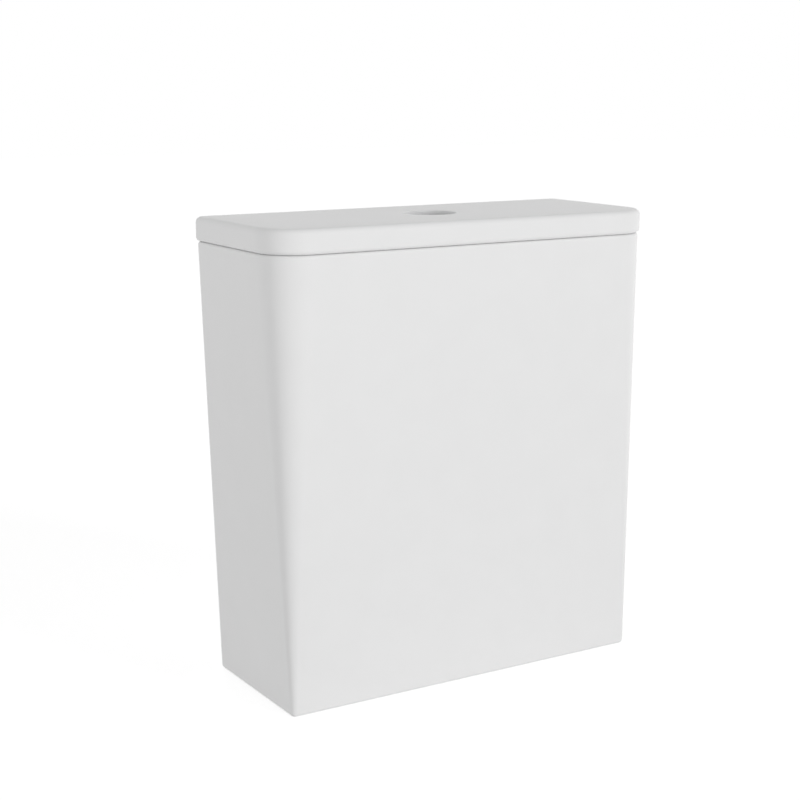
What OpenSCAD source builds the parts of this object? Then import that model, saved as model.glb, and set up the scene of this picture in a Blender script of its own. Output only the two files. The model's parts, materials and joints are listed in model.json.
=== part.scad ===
// Close-coupled toilet cistern: tapered ceramic tank and lid, a dual-flush drop valve worked by
// two recessed push buttons, a float-operated fill valve, and the bolts and seals that couple it
// to a pan. Millimetres, +Z up, front towards -Y, origin under the centre of the foot rim.

/* [Body] */
// Height of the ceramic body, from the foot rim to the top rim
body_h = 366.5; // [350:0.5:420]
// Width of the body at the top rim
top_w = 360; // [350:1:420]
// Width of the body at the foot rim
base_w = 334; // [325:1:380]
// Depth of the body at the top rim
top_d = 142; // [136:1:190]
// Depth of the body at the foot rim
base_d = 135; // [130:1:180]
// Radius of the two front corners at the top rim
top_corner_r = 32; // [20:1:40]
// Radius of the two front corners at the foot rim
base_corner_r = 4; // [4:1:30]
// Radius of the two back corners
back_corner_r = 6; // [4:0.5:12]
// Thickness of the side walls
wall = 9; // [7:0.5:12]
// Thickness of the tank's floor
floor_t = 11; // [8:0.5:16]
// Height of the skirt below the floor, which hides the coupling
skirt_h = 40; // [38:1:60]
// Thickness of the skirt
skirt_t = 12; // [9:0.5:16]
// Radius of the corners inside the tank
cavity_corner_r = 10; // [6:0.5:14]
// Radius between the floor and the walls inside the tank
floor_fillet_r = 9; // [6:0.5:9.5]
// Rounding of the foot rim's outer edge
base_edge_r = 3; // [1:0.5:5]
// Rounding of the top rim's outer edge
rim_edge_r = 2.5; // [1:0.5:4]

/* [Lid] */
// Height of the lid's edge
lid_h = 20; // [15:0.5:26]
// How far the lid stands out past the body
lid_overhang = 1.5; // [0:0.25:5]
// Thickness of the pads that the lid rests on
lid_gap = 0.5; // [0.25:0.25:3]
// Thickness of the lid's top plate
lid_plate_t = 9; // [7:0.5:12]
// Width of the solid rim under the lid
lid_rim_w = 21; // [20:0.5:30]
// Rounding of the lid's upper edge
lid_top_r = 5; // [2:0.5:7]
// Rounding of the lid's lower edge
lid_under_r = 3.5; // [1:0.5:5]
// Height of the locating lip under the lid
lip_h = 6; // [3:0.5:10]
// Thickness of the locating lip
lip_t = 6; // [4:0.5:7]
// Clearance between the locating lip and the tank's wall
lip_clear = 2.5; // [1:0.25:4]
// Diameter of the button hole
button_hole_d = 44; // [42:0.5:50]
// Rounding of the button hole's upper edge
hole_edge_r = 0.5; // [0.25:0.25:3]
// Length of a lid pad
pad_l = 16; // [8:1:24]
// Width of a lid pad
pad_w = 4; // [3:0.25:4.5]
// Distance between the lid pads along a side wall
pad_spacing = 50; // [30:1:70]

/* [Flush outlet] */
// Bore of the flush outlet
outlet_bore_d = 50; // [44:0.5:52]
// Outside of the outlet's threaded tail
outlet_thread_d = 60; // [57:0.1:62]
// Hole in the floor for the outlet
outlet_hole_d = 66; // [63.5:0.5:70]
// Length of the tail below the floor
tail_l = 36; // [32:0.5:37]
// Diameter of the flange inside the tank
flange_d = 88; // [84:0.5:90]
// Thickness of the flange
flange_t = 4; // [3:0.5:6]
// Thickness of the gasket under the flange
gasket_t = 3; // [2:0.5:5]
// Bore of the valve seat above the outlet
seat_bore_d = 48; // [42:0.5:50]
// Height of the valve seat above the flange
seat_h = 4; // [3:0.5:6]
// Width of the valve seat's face
seat_w = 4; // [2:0.25:5]
// Thickness of the washer between the floor and the backnut
outlet_washer_t = 3; // [2:0.5:4]
// Thickness of the outlet's backnut
backnut_t = 14; // [10:0.5:15]
// Diameter of the outlet's backnut, without its lugs
backnut_d = 78; // [74:1:82]
// Height of the seal that couples the outlet to the pan
coupling_t = 16; // [12:0.5:17]
// Diameter of the coupling seal
coupling_d = 90; // [84:1:96]

/* [Flush valve] */
// Height of the four legs of the cage
leg_h = 38; // [34:1:46]
// Outside of the cage's ring and of the housing's foot
cage_d = 84; // [82:0.5:90]
// Outside of the float housing
housing_d = 80; // [78:0.5:80]
// Thickness of the housing's walls
housing_wall = 2; // [1.5:0.25:3]
// Thickness of the housing's top plate
housing_plate_t = 4; // [3:0.5:6]
// Outside of the overflow tube
tube_d = 31; // [28:0.5:32]
// Thickness of the overflow tube
tube_wall = 2.5; // [1.5:0.25:3.5]
// How far the overflow tube stands out of the housing
tube_rise = 28; // [22:1:36]
// Diameter of the flush seal
seal_d = 63; // [60:0.5:65]
// Thickness of the flush seal
seal_t = 3; // [2:0.25:4]
// Thickness of the disc that carries the flush seal
disc_t = 4; // [3:0.5:6]
// Height of the two floats in the housing
valve_float_h = 28; // [20:1:32]
// Diameter of the two floats in the housing
valve_float_d = 68; // [60:0.5:70]
// Thickness of a float's walls
float_wall = 1.8; // [1.2:0.1:2.5]

/* [Flush buttons] */
// Depth of the buttons below the lid's top
button_recess = 6; // [5:0.25:9]
// Clearance between the button carrier and the lid's hole
carrier_clear = 1.5; // [1:0.25:2.5]
// Height of the button carrier
carrier_h = 29; // [27:0.5:34]
// Thickness of the carrier's wall
carrier_wall = 2; // [1.5:0.25:2.5]
// Thickness of a button
button_t = 7; // [6:0.25:9]
// Travel of a button
press_travel = 8; // [5:0.25:9]
// Where the line between the two buttons lies
button_split_x = -3; // [-4:0.25:0]
// Gap between the two buttons
button_gap = 0.8; // [0.5:0.1:1.5]
// Diameter of a push rod
rod_d = 5; // [4:0.25:6]
// Wire of a return spring
spring_wire = 0.9; // [0.6:0.05:1]
// Outside of a return spring
spring_d = 9.4; // [8.5:0.1:10]
// Turns of a return spring
spring_turns = 6; // [4:1:7]

/* [Rockers] */
// Distance of the push rods from the valve's axis, across the front
rod_x = 8.5; // [8:0.25:9]
// Distance of each rocker's lane from the valve's axis, front to back
lane_y = 6; // [5.5:0.25:6.5]
// Width of a rocker
rocker_w = 8; // [6:0.5:9]
// Thickness of a rocker's arm
rocker_t = 5; // [4:0.25:6]
// Radius of a rocker's rounded tips
tip_r = 3; // [2.5:0.25:3.5]
// Distance of a rocker's pin from the valve's axis
pivot_x = 16; // [15:0.25:17]
// Distance of a rocker's lifting tip from the valve's axis
lift_x = 44; // [40:0.5:48]
// Diameter of a rocker's pin
pin_d = 4; // [3:0.25:5]
// Thickness of the tower's two side plates
tower_t = 3; // [2:0.25:4]
// Distance between the tower's two side plates
tower_inside = 37; // [36.5:0.25:40]
// Width of the tower's side plates
tower_w = 44; // [42:0.5:48]
// Distance from the tower's top down to the rocker's pin
rocker_drop = 31; // [26:0.5:34]
// Distance from the rocker's pin down to the housing's top
tower_gap = 62; // [54:0.5:70]
// Diameter of a lifter's post
post_d = 5; // [4:0.25:6]
// Distance of a lifter's post from the valve's axis
post_x = 30; // [29:0.25:31]

/* [Fill valve] */
// Distance of the inlet from the flush outlet
inlet_x = 122; // [118:0.5:124]
// Outside of the inlet's threaded tail
inlet_thread_d = 20.9; // [20:0.1:21.5]
// Bore of the inlet
inlet_bore_d = 10; // [8:0.5:11]
// Hole in the floor for the inlet
inlet_hole_d = 23; // [22:0.5:26]
// Length of the inlet's tail below the floor
inlet_tail_l = 34; // [28:0.5:37]
// Height of the valve's head above the floor
fill_h = 245; // [235:1:255]
// Outside of the inlet pipe inside the sleeve
inner_pipe_d = 15; // [13.5:0.25:16]
// Outside of the outlet sleeve
sleeve_d = 22; // [21:0.25:23]
// Thickness of the outlet sleeve
sleeve_wall = 2; // [1.5:0.25:2]
// Diameter of the valve's head
head_d = 44; // [40:0.5:46]
// Height of the valve's head
head_h = 16; // [14:0.5:20]
// Height of the cap over the diaphragm
cap_h = 11; // [10:0.5:14]
// Thickness of the diaphragm
diaphragm_t = 2; // [1:0.25:3]
// Diameter of the float cup
float_d = 64; // [58:0.5:66]
// Height of the float cup
float_h = 60; // [45:1:70]
// Distance from the head down to the float cup
float_drop = 46; // [40:1:60]
// Distance of the lever's pin from the valve's axis
lever_pin_x = 10; // [9:0.25:11]
// Width of the lever
lever_w = 8; // [6:0.5:10]
// Length of the lever, from its pin to the link rod
lever_l = 30; // [29:0.25:33]
// Angle of the lever below the level at rest, and above it when the valve is shut
lever_tilt = 10; // [6:0.5:12]
// Diameter of the link rod
link_d = 4; // [3:0.25:5]

/* [Fixings] */
// Distance between the two pan bolts
bolt_spacing = 155; // [145:1:165]
// Diameter of a pan bolt
bolt_d = 8; // [6:0.5:10]
// Hole in the floor for a pan bolt
bolt_hole_d = 12; // [11:0.5:16]
// Length of a pan bolt below the floor
bolt_l = 35; // [28:0.5:37]
// Thickness of the cone washer on a pan bolt
cone_t = 6; // [4:0.5:8]
// Distance between the two wall-screw holes
wall_hole_spacing = 180; // [140:1:220]
// Diameter of a wall-screw hole
wall_hole_d = 8; // [6:0.5:10]
// Height of the wall-screw holes
wall_hole_z = 300; // [250:1:320]

/* [Hidden] */
$fn = 64;

// Steps in a quarter turn of a corner, and in the rounding of an edge
arc_steps = 10;
edge_steps = 4;
// Cutters run this far past the faces they cut
past = 1;
// Clearances: a turning pin, a sliding or screwed fit, parts that meet only when they move,
// and a guide hole around a rod
run_clear = 0.08;
fit_clear = 0.1;
touch_clear = 0.3;
guide_clear = 0.5;

// Heights, from the floor up
floor_z = skirt_h + floor_t;
flange_z = floor_z + gasket_t;
flange_top = flange_z + flange_t;
seat_z = flange_top + seat_h;
cage_ring_t = 4;
housing_z = flange_top + leg_h + cage_ring_t;

// Heights, from the lid down
back_y = top_d / 2;
lid_z = body_h + lid_gap;
lid_top = lid_z + lid_h;
button_top = lid_top - button_recess;
carrier_z = button_top - carrier_h;
carrier_floor_t = 3;
tower_plate_t = 3;
tower_top = carrier_z - tower_plate_t;
rocker_z = tower_top - rocker_drop;
housing_top = rocker_z - tower_gap;
button_under = button_top - button_t;

// Rocker motion: a press of the button turns the rocker by press_angle and lifts by lift_travel
press_arm = pivot_x + rod_x;
lift_arm = lift_x - pivot_x;
press_angle = asin(press_travel / press_arm);
lift_travel = lift_arm * sin(press_angle);
tip_top = rocker_z + tip_r;

// Radii of the flush valve
carrier_r = button_hole_d / 2 - carrier_clear;
well_r = carrier_r - carrier_wall;
carrier_lip_t = 1.5;
carrier_lip_w = 1.3;
// How far the seal stands out past its disc, and the space round and under its retainer
seal_rim = 3.5;
retainer_clear = 4;
retainer_lift = 0.5;
disc_d = seal_d - 2 * seal_rim;
retainer_d = seat_bore_d - 2 * retainer_clear;
retainer_h = seat_h - retainer_lift;
tube_z = seat_z - retainer_h;
// The full-flush float's height over the housing's foot, and the space up to the half-flush float
float_foot_h = 12;
float_play = 6;
full_float_z = housing_z + float_foot_h;
half_float_z = full_float_z + valve_float_h + lift_travel + float_play;
post_collar_t = 3;
lip_plate_t = 3;
lip_plate_z = tip_top + touch_clear;
// The openings through the housing's foot and the cage's ring are this much smaller than the floats
float_stop = 1;
foot_bore_d = valve_float_d - 2 * float_stop;

// Fill valve
fill_gasket_t = 3;
fill_flange_t = 4;
fill_flange_d = 36;
fill_flange_z = floor_z + fill_gasket_t;
sleeve_z = fill_flange_z + fill_flange_t;
head_z = floor_z + fill_h;
diaphragm_z = head_z + head_h;
cap_z = diaphragm_z + diaphragm_t;
cap_top = cap_z + cap_h;
lever_arm_t = 4;
lever_pad_r = 2.5;
lever_pad_t = 1;
// High enough that the pad just clears the cap when the lever is turned all the way up
lever_z = cap_top + (lever_pin_x + lever_pad_r) * sin(lever_tilt)
    + (lever_arm_t / 2 + lever_pad_t) * cos(lever_tilt) + touch_clear;
lever_pin_d = 3;
lever_hub_r = 4;
lever_tip_r = 3;
// Space between the link rod and the lever's fork, all round
fork_clear = 1;
fork_gap = link_d + 2 * fork_clear;
fork_t = 3;
float_top = head_z - float_drop;
float_z = float_top - float_h;
link_x = inlet_x - lever_pin_x - lever_l * (1 + cos(lever_tilt)) / 2;
link_tip_z = lever_z - lever_l * sin(lever_tilt);
// How far the link rod's collars stand out past it
link_collar_w = 4;
link_collar_r = link_d / 2 + link_collar_w;
link_collar_t = 2;
// How far the link rod stands above its upper collar
link_over = 3;
// How far the float's lug runs into the wall of its cup
lug_bite = 1.5;
lug_h = 8;
level_nut_t = 5;
float_rise = 2 * lever_l * sin(lever_tilt);
// Walls of the head's chamber and of the cap's, the cap's rim round the diaphragm, and its ears
head_wall = 5;
cap_wall = 8;
cap_roof_t = 4;
cap_rim_t = 2;
ear_t = 2.5;
ear_in = lever_w / 2 + 2 * touch_clear;
lever_pin_out = 1.4;
fill_nut_t = 9;
relief = 0.6;
relief_w = 1.5;

// Fixings
plate_washer_t = 1.5;
plate_washer_d = 22;
bolt_head_t = 5;
bolt_hex_d = 15;
bolt_nut_t = 6.5;
cone_d = 30;
cone_taper = 2;
bolt_head_z = floor_z + cone_t + plate_washer_t;

echo(press_angle = press_angle, lift_travel = lift_travel, float_rise = float_rise);

function mix(a, b, t) = a + (b - a) * t;

// A quarter turn from the angle start, about (cx, cy)
function quarter(cx, cy, r, start) =
    [for (i = [0:arc_steps]) let (a = start + 90 * i / arc_steps) [cx + r * cos(a), cy + r * sin(a)]];

// Outline of a rectangle with two front radii and two back radii, anticlockwise from above
function plan(half_w, front, back, front_r, back_r) = concat(
    quarter(half_w - front_r, front + front_r, front_r, 270),
    quarter(half_w - back_r, back - back_r, back_r, 0),
    quarter(-half_w + back_r, back - back_r, back_r, 90),
    quarter(-half_w + front_r, front + front_r, front_r, 180));

function ring(outline, z) = [for (p = outline) [p.x, p.y, z]];

function half_w_at(z) = mix(base_w, top_w, z / body_h) / 2;
function front_at(z) = back_y - mix(base_d, top_d, z / body_h);
function corner_at(z) = mix(base_corner_r, top_corner_r, z / body_h);

// The body's outline at height z, drawn in by inset
function body_ring(z, inset) = ring(plan(
    half_w_at(z) - inset, front_at(z) + inset, back_y - inset,
    max(corner_at(z) - inset, 1), max(back_corner_r - inset, 1)), z);

// The same for the hollows inside the body: the front corners keep the wall's thickness, and no
// corner is sharper than r
function hollow_ring(z, inset, r) = ring(plan(
    half_w_at(z) - inset, front_at(z) + inset, back_y - inset, max(corner_at(z) - inset, r), r), z);

// Outline of the lid's locating lip, drawn in by inset
function lip_outline(inset) =
    let (
        gap = wall + lip_clear + inset,
        front_r = max(top_corner_r - wall, cavity_corner_r) - lip_clear - inset,
        back_r = cavity_corner_r - lip_clear - inset)
    plan(top_w / 2 - gap, -back_y + gap, back_y - gap, max(front_r, 1), max(back_r, 1));

// The lid's outline, drawn in by inset
function lid_outline(inset) = plan(
    top_w / 2 + lid_overhang - inset, -back_y - lid_overhang + inset, back_y + lid_overhang - inset,
    max(top_corner_r + lid_overhang - inset, 1), max(back_corner_r + lid_overhang - inset, 1));

edge_angles = [for (i = [0:edge_steps]) 90 * i / edge_steps];

// A closed loft through rings of equal length, with flat ends
module skin(rings) {
    n = len(rings[0]);
    last = (len(rings) - 1) * n;
    sides = [
        for (k = [0:len(rings) - 2], i = [0:n - 1])
        let (a = k * n + i, b = k * n + (i + 1) % n)
        each [[a, a + n, b + n], [a, b + n, b]]
    ];
    polyhedron(
        points = [for (r = rings) each r],
        faces = concat(sides, [[for (i = [0:n - 1]) i]], [[for (i = [n - 1:-1:0]) last + i]]));
}

// A tube between two heights
module pipe(d, bore, z0, z1) {
    translate([0, 0, z0])
        difference() {
            cylinder(d = d, h = z1 - z0);
            translate([0, 0, -past]) cylinder(d = bore, h = z1 - z0 + 2 * past);
        }
}

// A cylinder from one height to another
module rod(d, z0, z1) {
    translate([0, 0, z0]) cylinder(d = d, h = z1 - z0);
}

// A cylinder along Y, centred
module cross_pin(d, l) {
    rotate([90, 0, 0]) cylinder(d = d, h = l, center = true);
}

// A float that traps air: a ring-shaped cup, open underneath
module ring_float(d, bore, z0, h) {
    translate([0, 0, z0])
        difference() {
            cylinder(d = d, h = h);
            translate([0, 0, -past]) cylinder(d = bore, h = h + 2 * past);
            translate([0, 0, -past])
                difference() {
                    cylinder(d = d - 2 * float_wall, h = h + past - float_wall);
                    cylinder(d = bore + 2 * float_wall, h = h + past - float_wall);
                }
        }
}

module at_bolts() {
    for (side = [-1, 1]) translate([side * bolt_spacing / 2, 0, 0]) children();
}

module at_inlet() {
    translate([inlet_x, 0, 0]) children();
}

module tank() color("white") {
    cavity_over = body_h + past;
    difference() {
        skin(concat(
            [for (a = edge_angles) body_ring(base_edge_r * (1 - cos(a)), base_edge_r * (1 - sin(a)))],
            [for (a = edge_angles) body_ring(body_h - rim_edge_r * (1 - sin(a)), rim_edge_r * (1 - cos(a)))]));
        // The water space
        skin(concat(
            [for (a = edge_angles) hollow_ring(
                floor_z + floor_fillet_r * (1 - cos(a)), wall + floor_fillet_r * (1 - sin(a)), cavity_corner_r)],
            [hollow_ring(cavity_over, wall, cavity_corner_r)]));
        // The recess under the floor
        skin([
            hollow_ring(-past, skirt_t, cavity_corner_r),
            hollow_ring(skirt_h, skirt_t, cavity_corner_r)]);
        rod(outlet_hole_d, skirt_h - past, floor_z + past);
        at_inlet() rod(inlet_hole_d, skirt_h - past, floor_z + past);
        at_bolts() rod(bolt_hole_d, skirt_h - past, floor_z + past);
        for (side = [-1, 1])
            translate([side * wall_hole_spacing / 2, back_y - wall / 2, wall_hole_z])
                cross_pin(wall_hole_d, wall + 2 * past);
    }
}

module lid() color("white") {
    plate_z = lid_top - lid_plate_t;
    hole_r = button_hole_d / 2;
    difference() {
        union() {
            skin(concat(
                [for (a = edge_angles)
                    ring(lid_outline(lid_under_r * (1 - sin(a))), lid_z + lid_under_r * (1 - cos(a)))],
                [for (a = edge_angles)
                    ring(lid_outline(lid_top_r * (1 - cos(a))), lid_top - lid_top_r * (1 - sin(a)))]));
            translate([0, 0, lid_z - lip_h])
                linear_extrude(lip_h + past)
                    polygon(lip_outline(0));
        }
        // The hollow under the lid, which the lip runs round
        translate([0, 0, lid_z - lip_h - past])
            linear_extrude(lip_h + past + past)
                polygon(lip_outline(lip_t));
        translate([0, 0, lid_z - past])
            linear_extrude(plate_z - lid_z + past)
                polygon(lid_outline(lid_rim_w));
        rod(button_hole_d, plate_z - past, lid_top + past);
        // The rounded edge of the button hole
        translate([0, 0, lid_top - hole_edge_r])
            rotate_extrude()
                difference() {
                    translate([hole_r - past, 0]) square([hole_edge_r + past, hole_edge_r + past]);
                    translate([hole_r + hole_edge_r, 0]) circle(hole_edge_r);
                }
    }
}

module lid_pads() color("dimgray") {
    x = top_w / 2 - wall / 2 - rim_edge_r / 2;
    for (side = [-1, 1], end = [-1, 1])
        translate([side * x - pad_w / 2, end * pad_spacing / 2 - pad_l / 2, body_h])
            cube([pad_w, pad_l, lid_gap]);
}

module valve_base() color("whitesmoke") {
    leg_w = 8;
    leg_t = 6;
    leg_in = foot_bore_d / 2 + 0.5;
    ring_z = flange_top + leg_h;
    difference() {
        union() {
            rod(outlet_thread_d, skirt_h - tail_l, flange_z + past);
            rod(flange_d, flange_z, flange_top);
            rod(seat_bore_d + 2 * seat_w, flange_top - past, seat_z);
        }
        rod(outlet_bore_d, skirt_h - tail_l - past, flange_z);
        rod(seat_bore_d, flange_z - past, seat_z + past);
    }
    pipe(cage_d, foot_bore_d, ring_z, housing_z);
    for (a = [45:90:315])
        rotate(a)
            translate([leg_in, -leg_w / 2, flange_top - past])
                cube([leg_t, leg_w, leg_h + 2 * past]);
}

module base_gasket() color("dimgray") {
    pipe(flange_d, outlet_thread_d + 2 * fit_clear, floor_z, flange_z);
}

module outlet_washer() color("dimgray") {
    pipe(backnut_d, outlet_thread_d + 2 * fit_clear, skirt_h - outlet_washer_t, skirt_h);
}

module outlet_backnut() color("whitesmoke") {
    lugs = 8;
    lug_w = 8;
    lug_out = 3;
    z0 = skirt_h - outlet_washer_t - backnut_t;
    difference() {
        union() {
            rod(backnut_d, z0, z0 + backnut_t);
            for (i = [0:lugs - 1])
                rotate(360 * i / lugs)
                    translate([backnut_d / 2 - past, -lug_w / 2, z0])
                        cube([lug_out + past, lug_w, backnut_t]);
        }
        rod(outlet_thread_d + 2 * fit_clear, z0 - past, z0 + backnut_t + past);
    }
}

module coupling_seal() color("dimgray") {
    z1 = skirt_h - outlet_washer_t - backnut_t;
    z0 = z1 - coupling_t;
    bore_r = outlet_thread_d / 2 + fit_clear;
    out_r = coupling_d / 2;
    taper = 7;
    chamfer = 1;
    rotate_extrude()
        polygon([
            [bore_r, z0], [out_r - taper, z0], [out_r, z0 + taper], [out_r, z1 - chamfer],
            [out_r - chamfer, z1], [bore_r, z1]]);
}

module valve_housing() color("aliceblue") {
    window_w = 16;
    sill_h = 8;
    head_h = 12;
    foot_t = 4;
    window_z = housing_z + foot_t + sill_h;
    window_h = housing_top - housing_plate_t - head_h - window_z;
    difference() {
        union() {
            rod(housing_d, housing_z, housing_top);
            rod(cage_d, housing_z, housing_z + foot_t);
        }
        rod(housing_d - 2 * housing_wall, housing_z + foot_t, housing_top - housing_plate_t);
        rod(foot_bore_d, housing_z - past, housing_z + foot_t + past);
        rod(tube_d + 2 * guide_clear, housing_top - housing_plate_t - past, housing_top + past);
        translate([post_x, -lane_y, 0])
            rod(post_d + 2 * guide_clear, housing_top - housing_plate_t - past, housing_top + past);
        for (a = [0:60:300])
            rotate(a)
                translate([0, -window_w / 2, window_z])
                    cube([housing_d, window_w, window_h]);
    }
}

module valve_tower() color("whitesmoke") {
    foot_h = 3;
    out_y = tower_inside / 2 + tower_t;
    difference() {
        union() {
            translate([-tower_w / 2, -out_y, housing_top]) cube([tower_w, 2 * out_y, foot_h]);
            translate([-tower_w / 2, -out_y, tower_top]) cube([tower_w, 2 * out_y, tower_plate_t]);
            for (side = [-1, 1])
                translate([-tower_w / 2, side * (out_y - tower_t / 2) - tower_t / 2, housing_top])
                    cube([tower_w, tower_t, tower_top - housing_top + past]);
        }
        rod(tube_d + 2 * guide_clear, housing_top - past, housing_top + foot_h + past);
        for (side = [-1, 1])
            translate([side * pivot_x, 0, rocker_z]) cross_pin(pin_d + 2 * run_clear, 2 * out_y + 2 * past);
        at_rods() rod(rod_d + 2 * guide_clear, tower_top - past, carrier_z + past);
    }
}

// The full-flush rod stands right of the axis, and the half-flush rod is its half turn
module at_rods() {
    for (turn = [0, 180]) rotate(turn) at_full_rod() children();
}

module at_full_rod() {
    translate([rod_x, -lane_y, 0]) children();
}

module rocker_pins() color("silver") {
    head_out = 1.5;
    head_t = 2;
    end_out = 3;
    out_y = tower_inside / 2 + tower_t;
    for (side = [-1, 1])
        translate([side * pivot_x, 0, rocker_z])
            rotate([90, 0, 0]) {
                translate([0, 0, -out_y - end_out]) cylinder(d = pin_d, h = 2 * out_y + end_out + past);
                translate([0, 0, out_y]) cylinder(d = pin_d + 2 * head_out, h = head_t);
            }
}

module overflow_tube() color("lightsteelblue") {
    stop_t = 3;
    stop_out = 3;
    difference() {
        union() {
            rod(tube_d, tube_z, housing_top + tube_rise);
            rod(disc_d, seat_z + seal_t, seat_z + seal_t + disc_t);
            rod(tube_d + 2 * stop_out, full_float_z - stop_t, full_float_z);
        }
        rod(tube_d - 2 * tube_wall, tube_z - past, housing_top + tube_rise + past);
    }
}

module flush_seal() color("dimgray") {
    pipe(seal_d, tube_d + 2 * fit_clear, seat_z, seat_z + seal_t);
}

module seal_retainer() color("whitesmoke") {
    pipe(retainer_d, tube_d + 2 * fit_clear, tube_z, seat_z);
}

module full_float() color("aliceblue") {
    ring_float(valve_float_d, tube_d + 2 * fit_clear, full_float_z, valve_float_h);
}

// A post with a flat lip that a rocker's tip lifts, left of the axis
module lifter(z0) {
    lip_past = 4;
    lip_in = post_x - post_d / 2;
    lip_end = lift_x + lip_past;
    lip_w = 2 * lane_y + rocker_w / 2 + post_d / 2;
    translate([-post_x, lane_y, 0]) rod(post_d, z0, lip_plate_z + lip_plate_t);
    translate([-lip_end, -lane_y - rocker_w / 2, lip_plate_z])
        cube([lip_end - lip_in, lip_w, lip_plate_t]);
}

module lift_hanger() color("royalblue") {
    arm_lift = 6;
    arm_t = 5;
    arm_w = post_d + 2;
    z0 = housing_top + arm_lift;
    ring_w = (tower_inside - tube_d) / 2 - guide_clear;
    difference() {
        union() {
            rod(tube_d + 2 * ring_w, z0, z0 + arm_t);
            translate([-post_x - post_d / 2, lane_y - arm_w / 2, z0])
                cube([post_x + post_d / 2, arm_w, arm_t]);
            lifter(z0);
        }
        rod(tube_d + 2 * fit_clear, z0 - past, z0 + arm_t + past);
    }
}

module half_float() color("aliceblue") {
    ring_float(valve_float_d, tube_d + 2 * guide_clear, half_float_z, valve_float_h);
}

module half_lift_rod() color("seagreen") {
    collar_out = 2;
    rotate(180) lifter(half_float_z + valve_float_h);
    translate([post_x, -lane_y, 0])
        rod(post_d + 2 * collar_out, housing_top + touch_clear, housing_top + touch_clear + post_collar_t);
}

// A rocker about its pin: pressed at +X, lifting at -X
module rocker() {
    hub_wall = 3;
    hub_r = pin_d / 2 + hub_wall;
    hub_out = tower_inside / 2 - lane_y - touch_clear;
    difference() {
        union() {
            translate([-lift_arm, -rocker_w / 2, -rocker_t / 2]) cube([lift_arm + press_arm, rocker_w, rocker_t]);
            for (x = [-lift_arm, press_arm]) translate([x, 0, 0]) cross_pin(2 * tip_r, rocker_w);
            translate([0, rocker_w / 2, 0]) rotate([90, 0, 0]) cylinder(r = hub_r, h = hub_out + rocker_w / 2);
        }
        cross_pin(pin_d + 2 * run_clear, 2 * tower_inside);
    }
}

module full_rocker() color("royalblue") {
    translate([-pivot_x, -lane_y, rocker_z]) rocker();
}

module half_rocker() color("seagreen") {
    rotate(180) translate([-pivot_x, -lane_y, rocker_z]) rocker();
}

module button_carrier() color("gainsboro") {
    difference() {
        rod(2 * carrier_r, carrier_z, button_top);
        rod(2 * well_r, carrier_z + carrier_floor_t, button_top - carrier_lip_t);
        rod(2 * (well_r - carrier_lip_w), button_top - carrier_lip_t - past, button_top + past);
        at_rods() rod(rod_d + 2 * guide_clear, carrier_z - past, carrier_z + carrier_floor_t + past);
    }
}

// The pair of buttons as one disc, with a flange that the carrier's lip holds down
module button_disc() {
    flange_r = well_r - touch_clear;
    cap_r = well_r - carrier_lip_w - touch_clear;
    chamfer = 0.6;
    flange_top_z = button_top - carrier_lip_t - touch_clear;
    rotate_extrude()
        polygon([
            [0, button_under], [flange_r, button_under], [flange_r, flange_top_z], [cap_r, flange_top_z],
            [cap_r, button_top - chamfer], [cap_r - chamfer, button_top], [0, button_top]]);
}

module full_button() color("silver") {
    intersection() {
        button_disc();
        translate([button_split_x + button_gap / 2, -carrier_r, button_under - past])
            cube([2 * carrier_r, 2 * carrier_r, button_t + 2 * past]);
    }
}

module half_button() color("silver") {
    intersection() {
        button_disc();
        translate([button_split_x - button_gap / 2 - 2 * carrier_r, -carrier_r, button_under - past])
            cube([2 * carrier_r, 2 * carrier_r, button_t + 2 * past]);
    }
}

module push_rod() {
    at_full_rod() rod(rod_d, tip_top + touch_clear, button_under);
}

module full_push_rod() color("royalblue") {
    push_rod();
}

module half_push_rod() color("seagreen") {
    rotate(180) push_rod();
}

// Points of a return spring's wire, and rings of six sides square to it
spring_sides = 6;
spring_steps = 12;
spring_z = carrier_z + carrier_floor_t + spring_wire / 2 + fit_clear;
spring_rise = button_under - spring_wire / 2 - fit_clear - spring_z;
spring_mean_r = (spring_d - spring_wire) / 2;
spring_pitch = spring_rise / spring_turns;
echo(spring_gap = spring_pitch - spring_wire);

function spring_ring(i) =
    let (
        a = 360 * i / spring_steps,
        lead = atan(spring_pitch / (2 * PI * spring_mean_r)),
        out = [cos(a), sin(a), 0],
        across = [sin(a) * sin(lead), -cos(a) * sin(lead), cos(lead)],
        middle = [spring_mean_r * cos(a), spring_mean_r * sin(a), spring_z + spring_pitch * i / spring_steps])
    [for (k = [0:spring_sides - 1])
        let (b = -360 * k / spring_sides) middle + spring_wire / 2 * (cos(b) * out + sin(b) * across)];

module spring() {
    at_full_rod() skin([for (i = [0:spring_turns * spring_steps]) spring_ring(i)]);
}

module full_spring() color("silver") {
    spring();
}

module half_spring() color("silver") {
    rotate(180) spring();
}

module pan_bolts() color("goldenrod") {
    nut_z = skirt_h - plate_washer_t - bolt_nut_t;
    at_bolts()
        difference() {
            union() {
                rod(bolt_d, skirt_h - bolt_l, bolt_head_z + past);
                translate([0, 0, bolt_head_z]) cylinder(d = bolt_hex_d, h = bolt_head_t, $fn = 6);
            }
            // The thread's relief below the nut, which parts off the bolt's free end
            pipe(bolt_d + 2 * past, bolt_d - 2 * relief, nut_z - relief_w, nut_z);
        }
}

module bolt_cone_washers() color("dimgray") {
    at_bolts()
        difference() {
            translate([0, 0, floor_z]) cylinder(d1 = cone_d, d2 = cone_d - 2 * cone_taper, h = cone_t);
            rod(bolt_d + 2 * fit_clear, floor_z - past, floor_z + cone_t + past);
        }
}

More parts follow.
